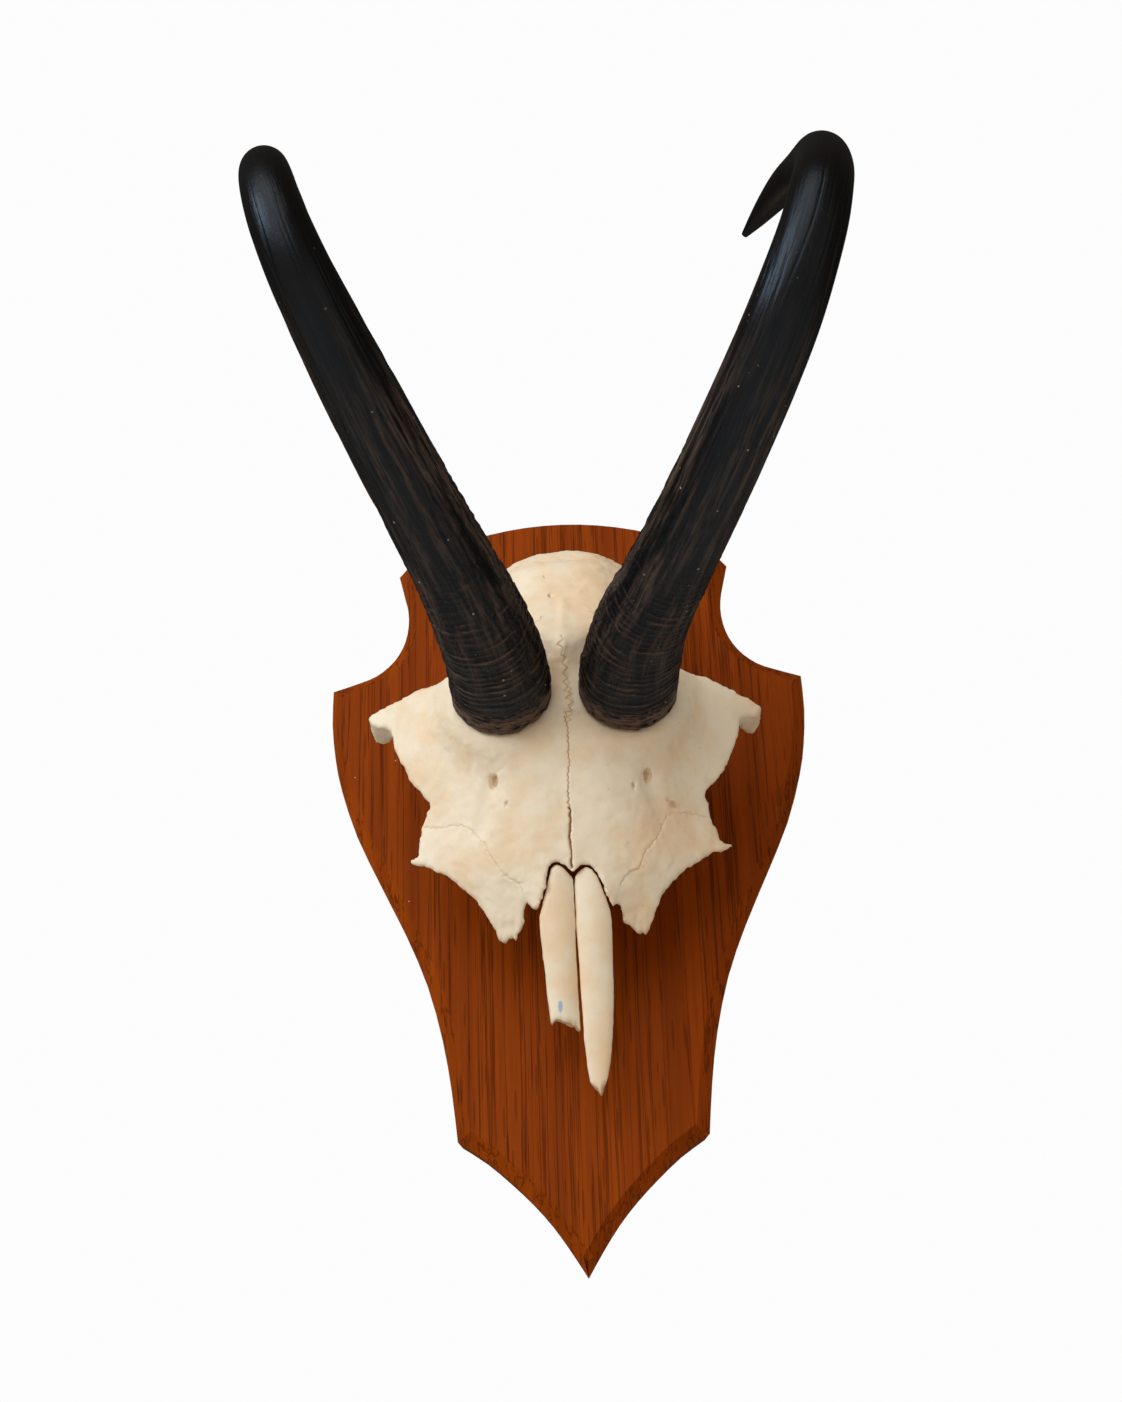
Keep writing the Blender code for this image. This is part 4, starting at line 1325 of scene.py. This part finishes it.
@dataclass
class NasalBone:
    """One nasal bone, faintly ribbed along its length and splintered at its free end.

    Attributes:
        side: which one it is.
        free_end: z of its lower end.
        smudge: middle of an ink smudge as (x, z), if it has one.
        smudge_reach: how far the smudge goes along x and z.
        voxel: size of its faces.
        passes: how often the whole bone is smoothed.
        face_passes: how often its outer face is smoothed again.
        top_height: height of its upper end.
        top_z: z of that end.
        slope: how fast it falls below it.
        middle: distance of its ridge from the mount's middle.
        swell: how far it is fattened above its splintered part.
    """

    side: Side
    free_end: float
    smudge: Point2 | None = None
    smudge_reach: Point2 = (0.8, 2.1)
    voxel: float = 0.34
    passes: int = 8
    face_passes: int = 24
    top_height: float = 37.2
    top_z: float = -66.0
    slope: float = 0.40
    middle: float = 4.5
    swell: float = 0.22

    def build(self) -> bpy.types.Object:
        """The bone as one closed mesh with the values that its finish reads.

        Returns:
            The bone.
        """
        name = f"nasal_{self.side.name.lower()}"
        bone = fine_bone(name, f"{name}_bone", self.voxel, self.passes)
        mesh = bone.data
        points = read_points(mesh)
        normals = read_normals(mesh)
        arch = self.top_height - self.slope * (self.top_z - points[:, 2])
        arch -= 0.07 * (np.abs(points[:, 0]) - self.middle)**2
        flat = soft_step(0.55, 0.85, normals[:, 1])
        points[:, 1] += np.clip(arch - points[:, 1], -0.5, 0.5) * flat
        gives_way = soft_step(0.1, 0.5, normals[:, 1])
        points = smoothed(points, read_edges(mesh), self.face_passes, gives_way)
        seed = 60 + self.side.value
        ribs = Lattice(seed).at(points, (0.7, 4.0, 22.0))
        depth = 0.02 * ribs + 0.05 * Lattice(seed + 4).layers(points, 7.0, 3)
        facing = gives_way
        swell = self.swell * soft_step(-92.0, -80.0, points[:, 2])
        shift = normals * (swell - depth * facing)[:, None]
        near_end = 1.0 - soft_step(0.5, 4.0, points[:, 2] - self.free_end)
        shift[:, 2] += near_end * 0.7 * Lattice(seed + 8).at(points, (0.8, 3.0, 5.0))
        shift[:, 0] += 0.14 * Lattice(seed + 12).layers(points, 2.5, 2)
        write_points(mesh, points + shift)
        empty = np.zeros(len(points))
        ink = empty
        if self.smudge:
            away = np.hypot(*((points[:, [0, 2]] - self.smudge) / self.smudge_reach).T)
            ink = (1.0 - soft_step(0.3, 1.2, away)) * facing
        # Tan near the free end and along the ribs, and painted shade on faces that do not face out
        # from the plaque.
        stain_and_shade = 0.75 * near_end + 0.35 * (1.0 - facing) + 0.25 * soft_step(0.1, 0.6, ribs)
        for label, values in (("seam", empty), ("hole", empty), ("stain_and_shade", stain_and_shade), ("ink", ink)):
            write_attribute(mesh, label, values)
        mesh.shade_smooth()
        return bone

    def dress(self, finish: bpy.types.Material) -> bpy.types.Object:
        """Build the bone and put it in its node's place.

        Args:
            finish: its material.

        Returns:
            The bone.
        """
        bone = self.build()
        bone.data.materials.append(finish)
        return settle(bone, f"nasal_{self.side.name.lower()}")


@dataclass
class Shield:
    """The wooden plaque with softened arrises.

    Attributes:
        arris: how far its edges are softened.
        arris_angle: how sharp an edge has to be, in degrees.
    """

    arris: float = 0.35
    arris_angle: float = 24.0

    def build(self) -> bpy.types.Object:
        """The plaque as one closed mesh with its bores.

        Returns:
            The plaque.
        """
        board = node_copy("plaque", "plaque_board")
        board.data.shade_smooth()
        bevel = board.modifiers.new("arris", "BEVEL")
        bevel.width = self.arris * MM
        bevel.segments = 3
        bevel.limit_method = "ANGLE"
        bevel.angle_limit = math.radians(self.arris_angle)
        evened = board.modifiers.new("evened", "WEIGHTED_NORMAL")
        evened.weight = 100
        apply_modifiers(board)
        return board

    def dress(self, finish: bpy.types.Material) -> bpy.types.Object:
        """Build the plaque and put it in its node's place.

        Args:
            finish: its material.

        Returns:
            The plaque.
        """
        board = self.build()
        board.data.materials.clear()
        board.data.materials.append(finish)
        return settle(board, "plaque")


@dataclass
class Hardware:
    """The steel hanger and screws on the back, which keep their solids.

    Attributes:
        nodes: their CAD nodes.
    """

    nodes: tuple[str, ...] = ("hanger_plate", "hanger_screw_upper", "hanger_screw_lower",
                              "skull_screw_left", "skull_screw_right")

    def dress(self, finish: bpy.types.Material) -> None:
        """Give each steel node its finish.

        Args:
            finish: the steel.
        """
        for name in self.nodes:
            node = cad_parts[name]
            for k in range(max(1, len(node.material_slots))):
                if node.material_slots:
                    node.material_slots[k].material = finish
                else:
                    node.data.materials.append(finish)
            LOG.info("%s keeps its solid", name)


@dataclass
class Studio:
    """Camera, soft lights, pale floor and white surroundings.

    Attributes:
        aim: what the camera looks at, in metres.
        distance: from the aim to the camera.
        below: how far the camera stands below the plaque's normal, in degrees.
        roll: of the camera, in degrees.
        focal_pixels: its focal length in pixels of the photograph's long side.
        long_side: that side in pixels.
        sensor_width: of the camera, in millimetres.
        light_aim: what the lights are turned to, in metres.
        floor_z: height of the floor, in metres.
    """

    aim: tuple[float, float, float] = (-0.002, -0.016, 0.0)
    distance: float = 0.6
    below: float = 27.0
    roll: float = -2.0
    focal_pixels: float = 2070.0
    long_side: float = 1402.0
    sensor_width: float = 36.0
    light_aim: tuple[float, float, float] = (0.0, -0.06, 0.0)
    floor_z: float = -0.95

    def camera(self) -> None:
        """The camera at the photograph's viewpoint."""
        data = bpy.data.cameras.new("viewpoint")
        data.sensor_width = self.sensor_width
        data.lens = self.focal_pixels * data.sensor_width / self.long_side
        tilt, turn = math.radians(self.below), math.radians(self.roll)
        back = Vector((0.0, -math.cos(tilt), -math.sin(tilt)))
        right, up = Vector((1.0, 0.0, 0.0)), Vector((0.0, -math.sin(tilt), math.cos(tilt)))
        across = right * math.cos(turn) + up * math.sin(turn)
        rise = up * math.cos(turn) - right * math.sin(turn)
        matrix = Matrix((across, rise, back)).transposed().to_4x4()
        matrix.translation = Vector(self.aim) + back * self.distance
        camera = bpy.data.objects.new("viewpoint", data)
        camera.matrix_world = matrix
        bpy.context.scene.collection.objects.link(camera)
        bpy.context.scene.camera = camera

    def area(self, name: str, place: tuple[float, float, float], size: tuple[float, float],
             power: float, colour: Colour) -> None:
        """A rectangular light aimed at the mount.

        Args:
            name: of the light.
            place: where it stands, in metres.
            size: its width and height, in metres.
            power: in watts.
            colour: of its light.
        """
        data = bpy.data.lights.new(name, "AREA")
        data.shape = "RECTANGLE"
        data.size, data.size_y = size
        data.energy = power
        data.color = colour
        light = bpy.data.objects.new(name, data)
        light.location = place
        ahead = Vector(self.light_aim) - Vector(place)
        light.rotation_euler = ahead.to_track_quat("-Z", "Y").to_euler()
        bpy.context.scene.collection.objects.link(light)

    def world(self) -> None:
        """White surroundings, softer as light than as background."""
        world = bpy.data.worlds.new("surroundings")
        bpy.context.scene.world = world
        world.use_nodes = True
        graph = Graph(world.node_tree)
        background = world.node_tree.nodes["Background"]
        path = graph.add("ShaderNodeLightPath").outputs
        seen = path["Is Camera Ray"]
        lit = graph.span(path["Is Glossy Ray"], 0.37, 0.05)
        graph.feed(background.inputs["Color"], graph.mix(seen, (1.0, 0.90, 0.78), (1.0, 1.0, 1.0)))
        graph.feed(background.inputs["Strength"], graph.span(seen, lit, 0.98))

    def floor(self) -> None:
        """A pale floor well below the mount."""
        body = bmesh.new()
        bmesh.ops.create_grid(body, x_segments=2, y_segments=2, size=4.0)
        mesh = bpy.data.meshes.new("floor")
        body.to_mesh(mesh)
        body.free()
        floor = link_object("floor", mesh)
        floor.location.z = self.floor_z
        made, graph, shader = new_material("floor_paint")
        tone = graph.noise(graph.place(), 3.0)
        colour = graph.mix(tone, (0.80, 0.80, 0.79), (0.84, 0.84, 0.83))
        graph.feed(shader.inputs["Base Color"], colour)
        shader.inputs["Roughness"].default_value = 0.8
        mesh.materials.append(made)

    def build(self) -> None:
        """Everything that isn't part of the mount."""
        self.camera()
        self.area("window", (-0.36, -1.08, 0.42), (1.0, 1.2), 8.2, (1.0, 0.96, 0.90))
        self.area("side", (-1.02, -0.76, 0.36), (0.40, 0.60), 7.0, (0.76, 0.88, 1.0))
        self.area("fill", (0.9, -1.1, -0.2), (0.9, 0.9), 0.8, (1.0, 0.92, 0.82))
        self.world()
        self.floor()
        bpy.context.scene.view_settings.view_transform = "Standard"


def settle(piece: bpy.types.Object, node: str) -> bpy.types.Object:
    """Let a piece stand for its node and ride on the mount.

    Args:
        piece: the fine piece.
        node: the CAD node that it stands for.

    Returns:
        The piece.
    """
    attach(piece, BODY)
    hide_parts(node)
    LOG.info("%s stands for %s with %d faces", piece.name, node, len(piece.data.polygons))
    return piece


HORN_RIGHT: list[Station] = [
    (15.7, 46.5, -21.1, 13.1), (16.6, 60.2, -19.6, 12.6), (19.6, 79.6, -17.6, 11.4),
    (24.9, 97.4, -15.5, 10.3), (33.7, 125.3, -10.4, 9.6), (39.4, 139.9, -4.7, 9.3),
    (45.8, 154.6, 3.3, 8.9), (51.2, 166.3, 11.8, 8.4), (56.7, 174.4, 24.6, 7.6),
    (59.4, 176.3, 34.4, 7.2), (61.5, 172.0, 45.0, 6.7), (62.0, 164.5, 54.8, 5.9),
    (59.6, 154.5, 60.5, 4.7), (56.5, 146.0, 63.2, 4.1), (53.1, 138.0, 64.0, 3.1),
    (50.0, 132.0, 63.6, 1.9), (47.6, 128.0, 62.9, 0.8)]
HORN_LEFT: list[Station] = [
    (-17.6, 46.5, -21.0, 13.2), (-18.5, 61.3, -19.1, 12.7), (-21.7, 80.1, -16.9, 11.8),
    (-25.9, 96.8, -14.1, 10.6), (-33.4, 121.3, -8.9, 9.7), (-38.7, 136.3, -4.3, 9.2),
    (-44.6, 152.0, 1.8, 8.7), (-49.6, 164.5, 7.7, 8.1), (-55.5, 175.6, 17.1, 7.3),
    (-60.2, 180.3, 28.5, 6.7), (-63.4, 178.7, 41.2, 6.1), (-64.9, 170.9, 51.2, 5.2),
    (-64.3, 159.9, 58.2, 3.9), (-61.8, 149.5, 59.9, 2.5), (-58.5, 140.4, 58.2, 1.0)]


def main() -> None:
    """Build the studio and every piece of the mount."""
    logging.basicConfig(level=logging.INFO, format="%(name)s: %(message)s")
    Studio().build()
    effects = Effects()
    wood = WoodFinish().material(effects)
    bone = BoneFinish().material(effects)
    horn = HornFinish().material(effects)
    steel = SteelFinish().material(effects)
    Shield().dress(wood)
    Hardware().dress(steel)
    SkullCap().dress(bone)
    NasalBone(Side.LEFT, -105.4, smudge=(-4.9, -100.3)).dress(bone)
    NasalBone(Side.RIGHT, -121.0).dress(bone)
    HornSheath(Side.LEFT, HORN_LEFT, 100).dress(horn)
    HornSheath(Side.RIGHT, HORN_RIGHT, 300).dress(horn)


if __name__ == "__main__":
    main()
